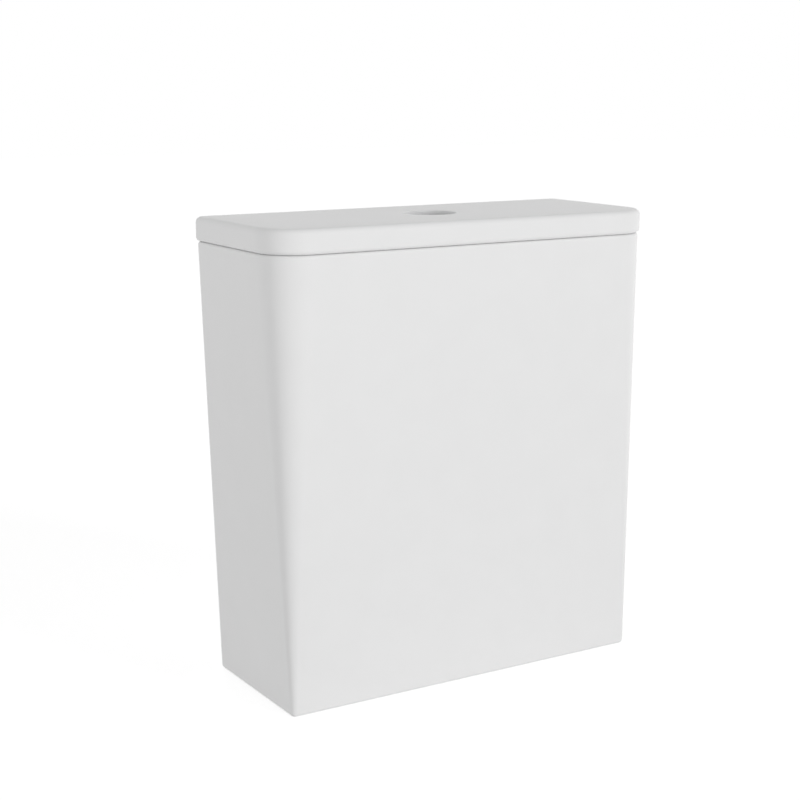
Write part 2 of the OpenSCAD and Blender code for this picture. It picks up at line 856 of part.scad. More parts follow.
module bolt_plate_washers() color("silver") {
    at_bolts() {
        pipe(plate_washer_d, bolt_d + 2 * fit_clear, floor_z + cone_t, bolt_head_z);
        pipe(plate_washer_d, bolt_d + 2 * fit_clear, skirt_h - plate_washer_t, skirt_h);
    }
}

module bolt_nuts() color("goldenrod") {
    z0 = skirt_h - plate_washer_t - bolt_nut_t;
    at_bolts()
        difference() {
            translate([0, 0, z0]) cylinder(d = bolt_hex_d, h = bolt_nut_t, $fn = 6);
            rod(bolt_d + 2 * fit_clear, z0 - past, z0 + bolt_nut_t + past);
        }
}

module fill_shank() color("whitesmoke") {
    at_inlet()
        difference() {
            union() {
                rod(inlet_thread_d, skirt_h - inlet_tail_l, fill_flange_z + past);
                rod(fill_flange_d, fill_flange_z, sleeve_z);
                rod(inner_pipe_d, sleeve_z - past, diaphragm_z - touch_clear);
            }
            rod(inlet_bore_d, skirt_h - inlet_tail_l - past, diaphragm_z + past);
            // The thread's relief below the backnut, which parts off the free end of the tail
            pipe(
                inlet_thread_d + 2 * past, inlet_thread_d - 2 * relief,
                skirt_h - fill_nut_t - relief_w, skirt_h - fill_nut_t);
        }
}

module fill_sleeve() color("gainsboro") {
    slots = 4;
    slot_w = 6;
    slot_h = 18;
    slot_lift = 4;
    slot_z = sleeve_z + slot_lift;
    at_inlet()
        difference() {
            pipe(sleeve_d, sleeve_d - 2 * sleeve_wall, sleeve_z, head_z);
            for (i = [0:slots - 1])
                rotate(360 * i / slots)
                    translate([0, -slot_w / 2, slot_z]) cube([sleeve_d, slot_w, slot_h]);
        }
}

module fill_gasket() color("dimgray") {
    at_inlet() pipe(fill_flange_d, inlet_thread_d + 2 * fit_clear, floor_z, fill_flange_z);
}

module fill_backnut() color("whitesmoke") {
    wing_w = 7;
    wing_out = 2;
    nut_d = 34;
    z0 = skirt_h - fill_nut_t;
    at_inlet()
        difference() {
            union() {
                rod(nut_d, z0, skirt_h);
                for (a = [0:60:300])
                    rotate(a)
                        translate([nut_d / 2 - past, -wing_w / 2, z0])
                            cube([wing_out + past, wing_w, fill_nut_t]);
            }
            rod(inlet_thread_d + 2 * fit_clear, z0 - past, skirt_h + past);
        }
}

module inlet_filter() color("royalblue") {
    filter_d = inlet_bore_d - 2 * fit_clear;
    filter_h = 24;
    filter_wall = 1;
    filter_end_t = 1.5;
    slot_w = 1.6;
    slot_pitch = 4;
    z0 = skirt_h - inlet_tail_l;
    z1 = z0 + filter_h;
    at_inlet()
        difference() {
            rod(filter_d, z0, z1);
            rod(filter_d - 2 * filter_wall, z0 - past, z1 - filter_end_t);
            for (a = [0:45:135], z = [z0 + slot_pitch:slot_pitch:z1 - filter_end_t - slot_pitch])
                rotate(a) translate([-filter_d, -slot_w / 2, z]) cube([2 * filter_d, slot_w, slot_w]);
        }
}

module fill_head() color("whitesmoke") {
    head_floor_t = 6;
    way_w = 4;
    way_out = sleeve_d / 2 - sleeve_wall - guide_clear;
    chamber_d = head_d - 2 * head_wall;
    chamber_z = head_z + head_floor_t;
    at_inlet()
        difference() {
            rod(head_d, head_z, diaphragm_z);
            rod(inner_pipe_d + 2 * fit_clear, head_z - past, diaphragm_z + past);
            rod(chamber_d, chamber_z, diaphragm_z + past);
            // Ways from the chamber down into the sleeve
            for (a = [0:90:270])
                rotate(a)
                    translate([0, -way_w / 2, head_z - past])
                        cube([way_out, way_w, head_floor_t + 2 * past]);
        }
}

module diaphragm() color("dimgray") {
    at_inlet() rod(head_d - 2 * cap_rim_t, diaphragm_z, cap_z);
}

module fill_cap() color("gainsboro") {
    bleed_d = 2;
    ear_w = 10;
    at_inlet()
        difference() {
            union() {
                rod(head_d, cap_z, cap_top);
                // The rim that closes on the head round the diaphragm
                pipe(head_d, head_d - 2 * cap_rim_t + 2 * fit_clear, diaphragm_z, cap_z + past);
                for (side = [-1, 1])
                    translate([-lever_pin_x, side * (ear_in + ear_t / 2), lever_z]) {
                        cross_pin(ear_w, ear_t);
                        translate([-ear_w / 2, -ear_t / 2, cap_top - lever_z - past])
                            cube([ear_w, ear_t, lever_z - cap_top + past]);
                    }
            }
            rod(head_d - 2 * cap_wall, cap_z - past, cap_top - cap_roof_t);
            rod(bleed_d, cap_z, cap_top + past);
            translate([-lever_pin_x, 0, lever_z]) cross_pin(lever_pin_d + 2 * run_clear, head_d);
        }
}

module lever_pin() color("silver") {
    translate([inlet_x - lever_pin_x, 0, lever_z])
        cross_pin(lever_pin_d, 2 * (ear_in + ear_t + lever_pin_out));
}

// The lever is drawn level about its pin, and turned down to where it rests
module at_lever() {
    translate([inlet_x - lever_pin_x, 0, lever_z]) rotate([0, -lever_tilt, 0]) children();
}

module fill_lever() color("whitesmoke") {
    arm_t = lever_arm_t;
    nose_r = 3;
    fork_w = fork_gap + 2 * fork_t;
    fork_root = link_collar_r + fork_clear;
    bridge_l = 4;
    bridge_lap = 1;
    at_lever()
        difference() {
            union() {
                cross_pin(2 * lever_hub_r, lever_w);
                translate([-lever_l + fork_root, -lever_w / 2, -arm_t / 2])
                    cube([lever_l - fork_root + lever_pin_x, lever_w, arm_t]);
                translate([-lever_l + fork_root - bridge_lap, -fork_w / 2, -arm_t / 2])
                    cube([bridge_l, fork_w, arm_t]);
                for (side = [-1, 1])
                    translate([-lever_l, side * (fork_gap + fork_t) / 2, 0]) {
                        cross_pin(2 * lever_tip_r, fork_t);
                        translate([0, -fork_t / 2, -arm_t / 2]) cube([fork_root, fork_t, arm_t]);
                    }
                translate([lever_pin_x, 0, -arm_t / 2]) cylinder(r = nose_r, h = arm_t);
            }
            cross_pin(lever_pin_d + 2 * run_clear, 2 * head_d);
        }
}

module lever_pad() color("dimgray") {
    at_lever()
        translate([lever_pin_x, 0, -lever_arm_t / 2 - lever_pad_t])
            cylinder(r = lever_pad_r, h = lever_pad_t);
}

module float_cup() color("black") {
    lug_w = 10;
    lug_in = inlet_x - float_d / 2 - link_x + lug_bite;
    difference() {
        union() {
            at_inlet() ring_float(float_d, sleeve_d + 2 * guide_clear, float_z, float_h);
            translate([link_x - lug_w / 2, -lug_w / 2, float_top - lug_h]) cube([lug_w / 2 + lug_in, lug_w, lug_h]);
        }
        translate([link_x, 0, 0]) rod(link_d + 2 * fit_clear, float_top - lug_h - past, float_top + past);
    }
}

module link_rod() color("goldenrod") {
    gap = lever_tip_r + touch_clear;
    translate([link_x, 0, 0]) {
        rod(link_d, float_top - lug_h - 3 * level_nut_t, link_tip_z + gap + link_collar_t + link_over);
        rod(2 * link_collar_r, link_tip_z - gap - link_collar_t, link_tip_z - gap);
        rod(2 * link_collar_r, link_tip_z + gap, link_tip_z + gap + link_collar_t);
    }
}

module level_nuts() color("whitesmoke") {
    nut_d = 2.5 * link_d;
    translate([link_x, 0, 0]) {
        pipe(nut_d, link_d + 2 * fit_clear, float_top, float_top + level_nut_t);
        pipe(nut_d, link_d + 2 * fit_clear, float_top - lug_h - level_nut_t, float_top - lug_h);
    }
}

tank();
lid();
lid_pads();
valve_base();
base_gasket();
outlet_washer();
outlet_backnut();
coupling_seal();
valve_housing();
valve_tower();
rocker_pins();
overflow_tube();
flush_seal();
seal_retainer();
full_float();
lift_hanger();
half_float();
half_lift_rod();
full_rocker();
half_rocker();
button_carrier();
full_button();
half_button();
full_push_rod();
half_push_rod();
full_spring();
half_spring();
pan_bolts();
bolt_cone_washers();
bolt_plate_washers();
bolt_nuts();
fill_shank();
fill_sleeve();
fill_gasket();
fill_backnut();
inlet_filter();
fill_head();
diaphragm();
fill_cap();
lever_pin();
fill_lever();
lever_pad();
float_cup();
link_rod();
level_nuts();
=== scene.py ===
import json
import math
import bmesh
import bpy
import numpy as np
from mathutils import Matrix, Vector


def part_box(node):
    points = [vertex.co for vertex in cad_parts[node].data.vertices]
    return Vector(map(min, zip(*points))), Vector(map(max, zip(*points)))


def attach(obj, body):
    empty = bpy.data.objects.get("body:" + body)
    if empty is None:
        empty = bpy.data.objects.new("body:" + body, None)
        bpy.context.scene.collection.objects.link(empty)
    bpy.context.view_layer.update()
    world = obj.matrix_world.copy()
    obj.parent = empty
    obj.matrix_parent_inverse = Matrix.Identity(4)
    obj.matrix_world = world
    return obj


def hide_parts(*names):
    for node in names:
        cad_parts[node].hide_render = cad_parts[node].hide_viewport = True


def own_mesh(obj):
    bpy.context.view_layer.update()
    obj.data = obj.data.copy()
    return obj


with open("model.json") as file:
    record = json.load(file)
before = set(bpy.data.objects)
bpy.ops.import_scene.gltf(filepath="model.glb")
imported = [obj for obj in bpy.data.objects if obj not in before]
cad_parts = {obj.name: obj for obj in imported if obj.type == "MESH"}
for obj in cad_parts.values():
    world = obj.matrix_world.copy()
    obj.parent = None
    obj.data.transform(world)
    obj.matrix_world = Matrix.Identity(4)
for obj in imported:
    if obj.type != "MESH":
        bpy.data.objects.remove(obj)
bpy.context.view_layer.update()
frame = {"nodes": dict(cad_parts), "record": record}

scene = bpy.context.scene
scene.view_settings.view_transform = "Standard"
mm = 0.001
bodies = frame["record"]["behaviour"]["bodies"]
bodyOf = {node: body for body, nodes in bodies.items() for node in nodes}
print("frame loaded with", len(frame["nodes"]), "nodes")

# lowest and highest corner of a node in millimetres
def boxOf(node):
    low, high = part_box(node)
    return np.array(low) / mm, np.array(high) / mm

# meshes

# faces that meet at more than this angle in degrees have a crease between them
creaseAngle = 35

# quads between neighbours on a grid of points: each row is a closed ring, and closeRows joins the last row
# to the first
def gridFaces(rows, columns, closeRows):
    i = np.arange(rows if closeRows else rows - 1)[:, None]
    j = np.arange(columns)[None, :]
    a = i * columns + j
    b = i * columns + (j + 1) % columns
    c = (i + 1) % rows * columns + (j + 1) % columns
    d = (i + 1) % rows * columns + j
    return np.stack([a, b, c, d], -1).reshape(-1, 4)

# a grid (rows, columns, 3) as a shell: points and faces
def shellOf(grid, closeRows):
    return grid.reshape(-1, 3), gridFaces(*grid.shape[:2], closeRows)

# a stack of rings closed at both ends by their middles
def cappedShell(rings):
    first = np.broadcast_to(rings[:1].mean(1, keepdims=True), rings[:1].shape)
    last = np.broadcast_to(rings[-1:].mean(1, keepdims=True), rings[-1:].shape)
    return shellOf(np.concatenate([first, rings, last]), False)

# shells become points and faces of one mesh: points that coincide (poles) are joined, and a shell whose
# volume comes out below zero is turned round, so that all faces point outwards
def joinShells(shells):
    points, faces, start = [], [], 0
    for shellPoints, shellFaces in shells:
        kept, place = np.unique(np.round(shellPoints, 5), axis=0, return_inverse=True)
        shellFaces = place.reshape(-1)[shellFaces]
        a, b, c, d = (kept[shellFaces[:, k]] for k in range(4))
        volume = np.einsum("ij,ij->i", a, np.cross(b, c) + np.cross(c, d)).sum()
        points.append(kept)
        faces.append((shellFaces if volume > 0 else shellFaces[:, ::-1]) + start)
        start += len(kept)
    corners = [list(dict.fromkeys(face)) for face in np.concatenate(faces).tolist()]
    return np.concatenate(points) * mm, [face for face in corners if len(face) > 2]

# smooth faces, with creases where two meet at more than the given angle
def shadeSmooth(mesh, crease):
    mesh.polygons.foreach_set("use_smooth", np.ones(len(mesh.polygons), dtype=bool))
    mesh.set_sharp_from_angle(angle=math.radians(crease))

def addObject(name, data):
    added = bpy.data.objects.new(name, data)
    scene.collection.objects.link(added)
    return added

def addMesh(name, points, faces, crease=creaseAngle):
    mesh = bpy.data.meshes.new(name)
    mesh.from_pydata(points.tolist(), [], faces)
    mesh.validate()
    shadeSmooth(mesh, crease)
    return addObject(name, mesh)

# the piece stands for its node: it rides on the node's body, and the node itself is hidden
def stand(piece, node, material):
    piece.data.materials.clear()
    piece.data.materials.append(material)
    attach(piece, bodyOf[node])
    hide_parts(node)
    return piece

def makePiece(name, node, shells, material, crease=creaseAngle):
    return stand(addMesh(name, *joinShells(shells), crease), node, material)

# a modifier is finished at once, so that the piece holds its final mesh
def applyModifier(piece, modifier):
    bpy.context.view_layer.objects.active = piece
    bpy.ops.object.modifier_apply(modifier=modifier.name)

# angles are in degrees, and points closer than merge (in metres) are one
mould = {"merge": 2e-6, "flatAngle": 0.5, "edgeAngle": 40, "segments": 2, "crease": 22}

# a moulded piece keeps its node's form: a copy of the mesh is merged, its flat faces are joined,
# and a bevel so many mm wide softens the edges as a mould does
def mouldedPiece(name, node, material, width):
    work = bmesh.new()
    work.from_mesh(frame["nodes"][node].data)
    bmesh.ops.remove_doubles(work, verts=work.verts, dist=mould["merge"])
    bmesh.ops.dissolve_limit(work, angle_limit=math.radians(mould["flatAngle"]), verts=work.verts,
                             edges=work.edges)
    mesh = bpy.data.meshes.new(name)
    work.to_mesh(mesh)
    work.free()
    piece = addObject(name, mesh)
    soft = piece.modifiers.new("softEdges", "BEVEL")
    soft.width = width * mm
    soft.segments = mould["segments"]
    soft.limit_method = "ANGLE"
    soft.angle_limit = math.radians(mould["edgeAngle"])
    applyModifier(piece, soft)
    shadeSmooth(piece.data, mould["crease"])
    return stand(piece, node, material)

# a rounded rectangle for every level: four quarter circles joined by straight runs, finer near their ends
def outlineRings(halfW, front, back, frontR, backR, z, steps=20, across=34, along=14):
    halfW, front, back, frontR, backR = (np.broadcast_to(v, np.shape(z)).astype(float)[:, None]
                                         for v in (halfW, front, back, frontR, backR))
    turn = np.radians(np.linspace(0, 90, steps + 1))[None, :]
    arcs = []
    for side, r, cy, start in ((1, frontR, front + frontR, 270), (1, backR, back - backR, 0),
                               (-1, backR, back - backR, 90), (-1, frontR, front + frontR, 180)):
        angle = turn + math.radians(start)
        arcs.append(np.stack([side * (halfW - r) + r * np.cos(angle), cy + r * np.sin(angle)], -1))
    parts = []
    for k, count in enumerate((along, across, along, across)):
        t = (0.5 - 0.5 * np.cos(np.pi * np.arange(1, count) / count))[None, :, None]
        parts += [arcs[k], arcs[k][:, -1:] * (1 - t) + arcs[(k + 1) % 4][:, :1] * t]
    flat = np.concatenate(parts, 1)
    level = np.broadcast_to(np.asarray(z, float)[:, None], flat.shape[:2])
    return np.dstack([flat, level])

# rings that pass from an outline to a circle: each point moves straight to the circle at its own angle
def toCircle(ring, radius, shares, z):
    angle = np.arctan2(ring[:, 1], ring[:, 0])
    circle = radius * np.stack([np.cos(angle), np.sin(angle)], -1)
    s = np.asarray(shares)[:, None, None]
    flat = ring[None, :, :2] * (1 - s) + circle[None] * s
    return np.dstack([flat, np.full(flat.shape[:2], float(z))])

# sine and cosine of a quarter turn, for rounded edges
def quarterTurn(steps):
    a = np.radians(np.linspace(0, 90, steps + 1))
    return np.sin(a), np.cos(a)

# a block with rounded corners and edges: rounded rectangles drawn in along a quarter circle at both ends
def softBlock(low, high, corner, edge, leastR=0.05):
    s, c = quarterTurn(4)
    inset = np.concatenate([edge * (1 - s), edge * (1 - c)])
    z = np.concatenate([low[2] + edge * (1 - c), high[2] - edge * (1 - s)])
    half, depth = (high[0] - low[0]) / 2, (high[1] - low[1]) / 2
    r = np.maximum(corner - inset, leastR)
    rings = outlineRings(half - inset, inset - depth, depth - inset, r, r, z, steps=4, across=2, along=2)
    return cappedShell(rings + np.array([(low[0] + high[0]) / 2, (low[1] + high[1]) / 2, 0]))

# a profile of (r, z, rounding) corners: each corner becomes the circular arc that touches both its sides,
# drawn as a weighted curve through three points
def softProfile(corners, steps=5):
    corners = np.array(corners, float)
    p, size = corners[:, :2], corners[:, 2:]
    before = np.roll(p, 1, 0) - p
    after = np.roll(p, -1, 0) - p
    before = before / np.linalg.norm(before, axis=1, keepdims=True)
    after = after / np.linalg.norm(after, axis=1, keepdims=True)
    half = np.arccos(np.clip((before * after).sum(1, keepdims=True), -0.9999, 0.9999)) / 2
    reach = size / np.tan(half)
    t = np.linspace(0, 1, steps + 1)[None, :, None]
    w = 2 * t * (1 - t) * np.sin(half)[:, None]
    a, b, c = (p + before * reach)[:, None], p[:, None], (p + after * reach)[:, None]
    arcs = ((1 - t) ** 2 * a + w * b + t ** 2 * c) / ((1 - t) ** 2 + w + t ** 2)
    flat = arcs.reshape(-1, 2)
    return flat[np.r_[True, np.abs(np.diff(flat, axis=0)).max(1) > 1e-6]]

# more points along a profile, where a thread or hexagon between two heights needs them
def denser(profile, step, low, high):
    length = np.r_[0, np.cumsum(np.hypot(*np.diff(profile, axis=0).T))]
    extra = np.arange(0, length[-1], step)
    z = np.interp(extra, length, profile[:, 1])
    every = np.union1d(length, extra[(z >= low) & (z <= high)])
    return np.stack([np.interp(every, length, profile[:, k]) for k in (0, 1)], -1)

# turned shape: the profile goes round the axis; reliefs add to its radius by r, z and angle.
# A looped profile closes on itself; an open one starts and ends on the axis
def turned(profile, place=(0, 0, 0), sides=64, looped=True, reliefs=(), axis="z"):
    angle = np.linspace(0, 2 * math.pi, sides, endpoint=False)[None, :]
    r = np.repeat(profile[:, :1], sides, 1)
    z = np.repeat(profile[:, 1:], sides, 1)
    r = r + sum(relief(r, z, angle) for relief in reliefs)
    grid = np.stack([r * np.cos(angle), r * np.sin(angle), z], -1)
    if axis == "y":
        grid = grid[..., [0, 2, 1]]
    return shellOf(grid + np.array(place, float), looped)

# a plain ring with softened edges; size gives its bore and outer radius and the rounding of its edges
def ringShell(size, low, high, x=0, sides=64, reliefs=()):
    bore, r, edge = size["bore"], size["r"], size["edge"]
    corners = [(bore, low, edge), (r, low, edge), (r, high, edge), (bore, high, edge)]
    return turned(softProfile(corners), (x, 0, 0), sides, reliefs=reliefs)

# screw thread on the wall of radius r0: a wave that climbs one pitch a turn, flat on its crests and in its
# roots, and runs out over one pitch at both ends
def thread(r0, low, high, pitch, depth, steep=2.6, crest=0.2, near=0.02):
    def relief(r, z, angle):
        turn = z / pitch - angle / (2 * math.pi)
        wave = np.clip(steep * np.abs(turn - np.floor(turn) - 0.5) - crest, 0, 1)
        ends = np.clip((z - low) / pitch, 0, 1) * np.clip((high - z) / pitch, 0, 1)
        return -depth * wave * ends * (np.abs(r - r0) < near)
    return relief

# hexagon: the radius is cut off at six flats
def hexagon(acrossCorners):
    def relief(r, z, angle):
        turn = np.mod(angle, math.pi / 3) - math.pi / 6
        flat = acrossCorners / 2 * math.cos(math.pi / 6) / np.cos(turn)
        return np.minimum(r, flat) - r
    return relief

# lugs or grip ribs: raised steps evenly round the edge, with sloping flanks, fading out towards the bore
def lugs(r0, count, width, out, slope=0.9, fade=2.0):
    def relief(r, z, angle):
        pitch = 2 * math.pi / count
        away = np.abs(np.mod(angle + pitch / 2, pitch) - pitch / 2) * r0
        rise = np.clip((width / 2 + slope / 2 - away) / slope, 0, 1)
        return out * rise * np.clip((r - r0 + fade) / fade, 0, 1)
    return relief

# materials

def hexColour(code):
    rgb = [int(code[k:k + 2], 16) / 255 for k in (0, 2, 4)]
    return [c / 12.92 if c <= 0.04045 else ((c + 0.055) / 1.055) ** 2.4 for c in rgb] + [1.0]

# adds a node, sets what it is given and links its inputs: a value is set, a socket is linked;
# an input is named by its label with underscores, or by its number after the letter i
def addNode(tree, kind, settings=None, **inputs):
    node = tree.nodes.new(kind)
    for name, value in (settings or {}).items():
        setattr(node, name, value)
    for name, value in inputs.items():
        numbered = name[0] == "i" and name[1:].isdigit()
        socket = node.inputs[int(name[1:])] if numbered else node.inputs[name.replace("_", " ")]
        if isinstance(value, bpy.types.NodeSocket):
            tree.links.new(value, socket)
        else:
            socket.default_value = value
    return node

def newMaterial(name):
    material = bpy.data.materials.new(name)
    material.use_nodes = True
    material.node_tree.nodes.clear()
    return material, material.node_tree

# the place on the piece itself, in metres
def ownPlace(tree):
    return addNode(tree, "ShaderNodeTexCoord").outputs["Object"]

def stretched(tree, place, scale):
    return addNode(tree, "ShaderNodeMapping", Vector=place, Scale=scale).outputs["Vector"]

# cloudy pattern whose patches are about so many mm wide
def noiseOf(tree, place, size, detail):
    noise = addNode(tree, "ShaderNodeTexNoise", Vector=place, Scale=1 / (size * mm), Detail=detail)
    return noise.outputs["Fac"]

# colour between dark and light
def toneOf(tree, share, dark, light):
    mix = addNode(tree, "ShaderNodeMix", {"data_type": "RGBA"}, Factor=share, i6=hexColour(dark),
                  i7=hexColour(light))
    return mix.outputs[2]

def rangeOf(tree, value, low, high):
    return addNode(tree, "ShaderNodeMapRange", Value=value, To_Min=low, To_Max=high).outputs["Result"]

# small unevenness so many mm deep
def bumpOf(tree, height, strength, depth):
    bump = addNode(tree, "ShaderNodeBump", Strength=strength, Distance=depth * mm, Height=height)
    return bump.outputs["Normal"]

def addSurface(tree, **inputs):
    shader = addNode(tree, "ShaderNodeBsdfPrincipled", **inputs)
    addNode(tree, "ShaderNodeOutputMaterial", Surface=shader.outputs["BSDF"])

# vitreous china under a clear glaze: even white with a soft wide gloss, faint pooling of the glaze,
# and a very slow swell left by casting and firing
glaze = {"white": "F2F2F2", "pooled": "EFEFEF", "poolSize": 30, "swellSize": 80, "swellDepth": 0.03,
         "roughness": 0.3}

def glazedChina():
    material, tree = newMaterial("glazedVitreousChina")
    place = ownPlace(tree)
    pool = noiseOf(tree, place, glaze["poolSize"], detail=2.0)
    swell = noiseOf(tree, place, glaze["swellSize"], detail=1.0)
    addSurface(tree, Base_Color=toneOf(tree, pool, glaze["pooled"], glaze["white"]), IOR=1.5,
               Roughness=glaze["roughness"], Normal=bumpOf(tree, swell, 0.3, glaze["swellDepth"]))
    return material

# injection-moulded plastic: pigment streaked a little along the flow, and a fine grain that dulls the gloss
plastic = {"stretch": (1, 1, 0.35), "grainDepth": 0.03, "glossSpread": 0.07, "scatter": 0.004}

def mouldedPlastic(name, light, dark, roughness, flow=14, grain=0.5, subsurface=0.0):
    material, tree = newMaterial(name)
    place = ownPlace(tree)
    streak = noiseOf(tree, stretched(tree, place, plastic["stretch"]), flow, detail=3.0)
    pits = noiseOf(tree, place, grain, detail=2.0)
    spread = plastic["glossSpread"]
    addSurface(tree, Base_Color=toneOf(tree, streak, dark, light), IOR=1.49,
               Roughness=rangeOf(tree, streak, roughness - spread, roughness + spread),
               Normal=bumpOf(tree, pits, 0.25, plastic["grainDepth"]),
               Subsurface_Weight=subsurface, Subsurface_Radius=(plastic["scatter"],) * 3)
    return material

# moulded rubber: nearly black and dull, greyed by a chalky bloom, with a fine uneven skin of cells;
# on foam the cells are wider and deeper
rubber = {"bloomSize": 9, "bloomFrom": 0.4, "bloomFull": 0.75, "roughLow": 0.6, "roughHigh": 0.85}

def blackRubber(name, cell, depth, light="3A3A3C", dark="17171A"):
    material, tree = newMaterial(name)
    place = ownPlace(tree)
    bloom = noiseOf(tree, place, rubber["bloomSize"], detail=4.0)
    chalk = addNode(tree, "ShaderNodeMapRange", Value=bloom, From_Min=rubber["bloomFrom"],
                    From_Max=rubber["bloomFull"])
    cells = addNode(tree, "ShaderNodeTexVoronoi", Vector=place, Scale=1 / (cell * mm))
    addSurface(tree, Base_Color=toneOf(tree, chalk.outputs["Result"], dark, light), IOR=1.5,
               Roughness=rangeOf(tree, bloom, rubber["roughLow"], rubber["roughHigh"]),
               Normal=bumpOf(tree, cells.outputs["Distance"], 0.6, depth))
    return material

# metal: a polished or turned face, duller in patches where it was handled, with fine tool lines round it
metal = {"patchSize": 7, "squeeze": (0.05, 0.05, 1)}

def turnedMetal(name, light, dark, roughness, spread, lineGap, lineDepth):
    material, tree = newMaterial(name)
    place = ownPlace(tree)
    dull = noiseOf(tree, place, metal["patchSize"], detail=4.0)
    lines = noiseOf(tree, stretched(tree, place, metal["squeeze"]), lineGap, detail=1.0)
    addSurface(tree, Base_Color=toneOf(tree, dull, dark, light), Metallic=1.0,
               Roughness=rangeOf(tree, dull, roughness - spread, roughness + spread),
               Normal=bumpOf(tree, lines, 0.3, lineDepth))
    return material

china = glazedChina()
whiteAbs = mouldedPlastic("mouldedWhiteAbs", "EDEDE8", "E2E2DC", 0.38)
greyAbs = mouldedPlastic("mouldedGreyAbs", "C4C6C8", "B6B9BC", 0.42)
blueAcetal = mouldedPlastic("mouldedBlueAcetal", "2F6FB5", "245C9C", 0.36)
greenAcetal = mouldedPlastic("mouldedGreenAcetal", "3C9A63", "2F8452", 0.36)
blackPlastic = mouldedPlastic("mouldedBlackPolypropylene", "2A2B2D", "1B1C1E", 0.45)
palePlastic = mouldedPlastic("naturalPolypropylene", "DDE5EA", "CCD7DE", 0.34, flow=20, grain=0.6,
                             subsurface=0.15)
sealRubber = blackRubber("mouldedNitrileRubber", cell=0.7, depth=0.03)
foamRubber = blackRubber("closedCellFoamRubber", cell=1.5, depth=0.25, light="2E2E30", dark="151517")
chrome = turnedMetal("chromePlatedAbs", "E9EBED", "DDE0E3", 0.09, 0.04, lineGap=0.9, lineDepth=0.002)
steel = turnedMetal("drawnStainlessSteel", "C9CBCC", "B4B7B9", 0.26, 0.08, lineGap=0.25, lineDepth=0.01)
brass = turnedMetal("turnedBrass", "E8D093", "D2B26A", 0.27, 0.09, lineGap=0.3, lineDepth=0.012)
print("materials made")

# ceramic

tank = {"height": 366.86, "topW": 360, "footW": 334, "topD": 142, "footD": 135, "topR": 32, "footR": 4,
        "backR": 6, "wall": 9, "floor": 51, "underFloor": 40, "skirt": 12, "innerR": 10, "floorFillet": 9,
        "recessFillet": 5, "footEdge": 3, "rimEdge": 2.5, "rimInner": 1.5, "skirtEdge": 1.5, "outletR": 33}

# body outline at height z drawn in by inset: width, depth and front radius change evenly from foot to rim,
# and the hollows keep a least corner radius
def bodyRings(z, inset, least=0.8):
    z, inset = np.broadcast_arrays(np.asarray(z, float), np.asarray(inset, float))
    t = z / tank["height"]
    half = (tank["footW"] + (tank["topW"] - tank["footW"]) * t) / 2
    back = np.full_like(t, tank["topD"] / 2)
    front = back - (tank["footD"] + (tank["topD"] - tank["footD"]) * t)
    frontR = np.maximum(tank["footR"] + (tank["topR"] - tank["footR"]) * t - inset, least)
    backR = np.maximum(tank["backR"] - inset, least)
    return outlineRings(half - inset, front + inset, back - inset, frontR, backR, z)

# the tank is one closed loop of rings: floor, inner wall, rim, outer wall, foot, recess, underside and
# outlet hole
def tankShell():
    p = tank
    r = p["innerR"]
    s, c = quarterTurn(8)
    s5, c5 = quarterTurn(5)
    rise = np.linspace(0, 1, 34)[1:-1]
    low, high = p["floor"] + p["floorFillet"], p["height"] - p["rimInner"]
    inner = bodyRings(p["floor"] + p["floorFillet"] * (1 - c), p["wall"] + p["floorFillet"] * (1 - s), r)
    wallIn = bodyRings(low + (high - low) * rise, p["wall"], r)
    rimIn = bodyRings(high + p["rimInner"] * s5, p["wall"] - p["rimInner"] * (1 - c5), r)
    rimOut = bodyRings(p["height"] - p["rimEdge"] * (1 - c), p["rimEdge"] * (1 - s))
    high = p["height"] - p["rimEdge"]
    wallOut = bodyRings(high - (high - p["footEdge"]) * rise, 0)
    foot = bodyRings(p["footEdge"] * (1 - s), p["footEdge"] * (1 - c))
    skirt = bodyRings(p["skirtEdge"] * (1 - c5), p["skirt"] - p["skirtEdge"] * (1 - s5), r)
    deep = p["underFloor"] - p["recessFillet"]
    recess = bodyRings(np.linspace(p["skirtEdge"], deep, 6)[1:-1], p["skirt"], r)
    under = bodyRings(deep + p["recessFillet"] * s, p["skirt"] + p["recessFillet"] * (1 - c), r)
    shares = np.linspace(0, 1, 8)[1:]
    below = toCircle(under[-1], p["outletR"], shares, p["underFloor"])
    above = toCircle(inner[0], p["outletR"], shares[::-1], p["floor"])
    rings = [inner, wallIn, rimIn, rimOut, wallOut, foot, skirt, recess, under, below, above]
    return shellOf(np.concatenate(rings), True)

# the guards are how far extra rings stand from a bend, to keep its shading crisp
lid = {"bottom": 367.09, "top": 387, "over": 1.5, "topEdge": 5, "underEdge": 3.5, "plate": 9, "rim": 21,
       "lipDrop": 6, "lipT": 6, "lipGap": 2.5, "lipEdge": 1.5, "fillet": 3, "holeR": 22, "holeEdge": 0.6,
       "holeBreak": 0.8, "leastR": 1.5, "guard": 1, "lipGuard": 0.5, "holeGuard": 0.3, "breakGuard": 2}

# lid outline at height z drawn in by inset
def lidRings(z, inset):
    z, inset = np.broadcast_arrays(np.asarray(z, float), np.asarray(inset, float))
    out = lid["over"] - inset
    depth = tank["topD"] / 2
    frontR = np.maximum(tank["topR"] + out, lid["leastR"])
    backR = np.maximum(tank["backR"] + out, lid["leastR"])
    return outlineRings(tank["topW"] / 2 + out, -depth - out, depth + out, frontR, backR, z)

# locating lip's outline, inside the tank's mouth
def lipRings(z, inset):
    z, inset = np.broadcast_arrays(np.asarray(z, float), np.asarray(inset, float))
    gap = tank["wall"] + lid["lipGap"] + inset
    depth = tank["topD"] / 2
    frontR = np.maximum(tank["topR"] - gap, lid["leastR"])
    backR = np.maximum(tank["innerR"] - lid["lipGap"] - inset, lid["leastR"])
    return outlineRings(tank["topW"] / 2 - gap, -depth + gap, depth - gap, frontR, backR, z)

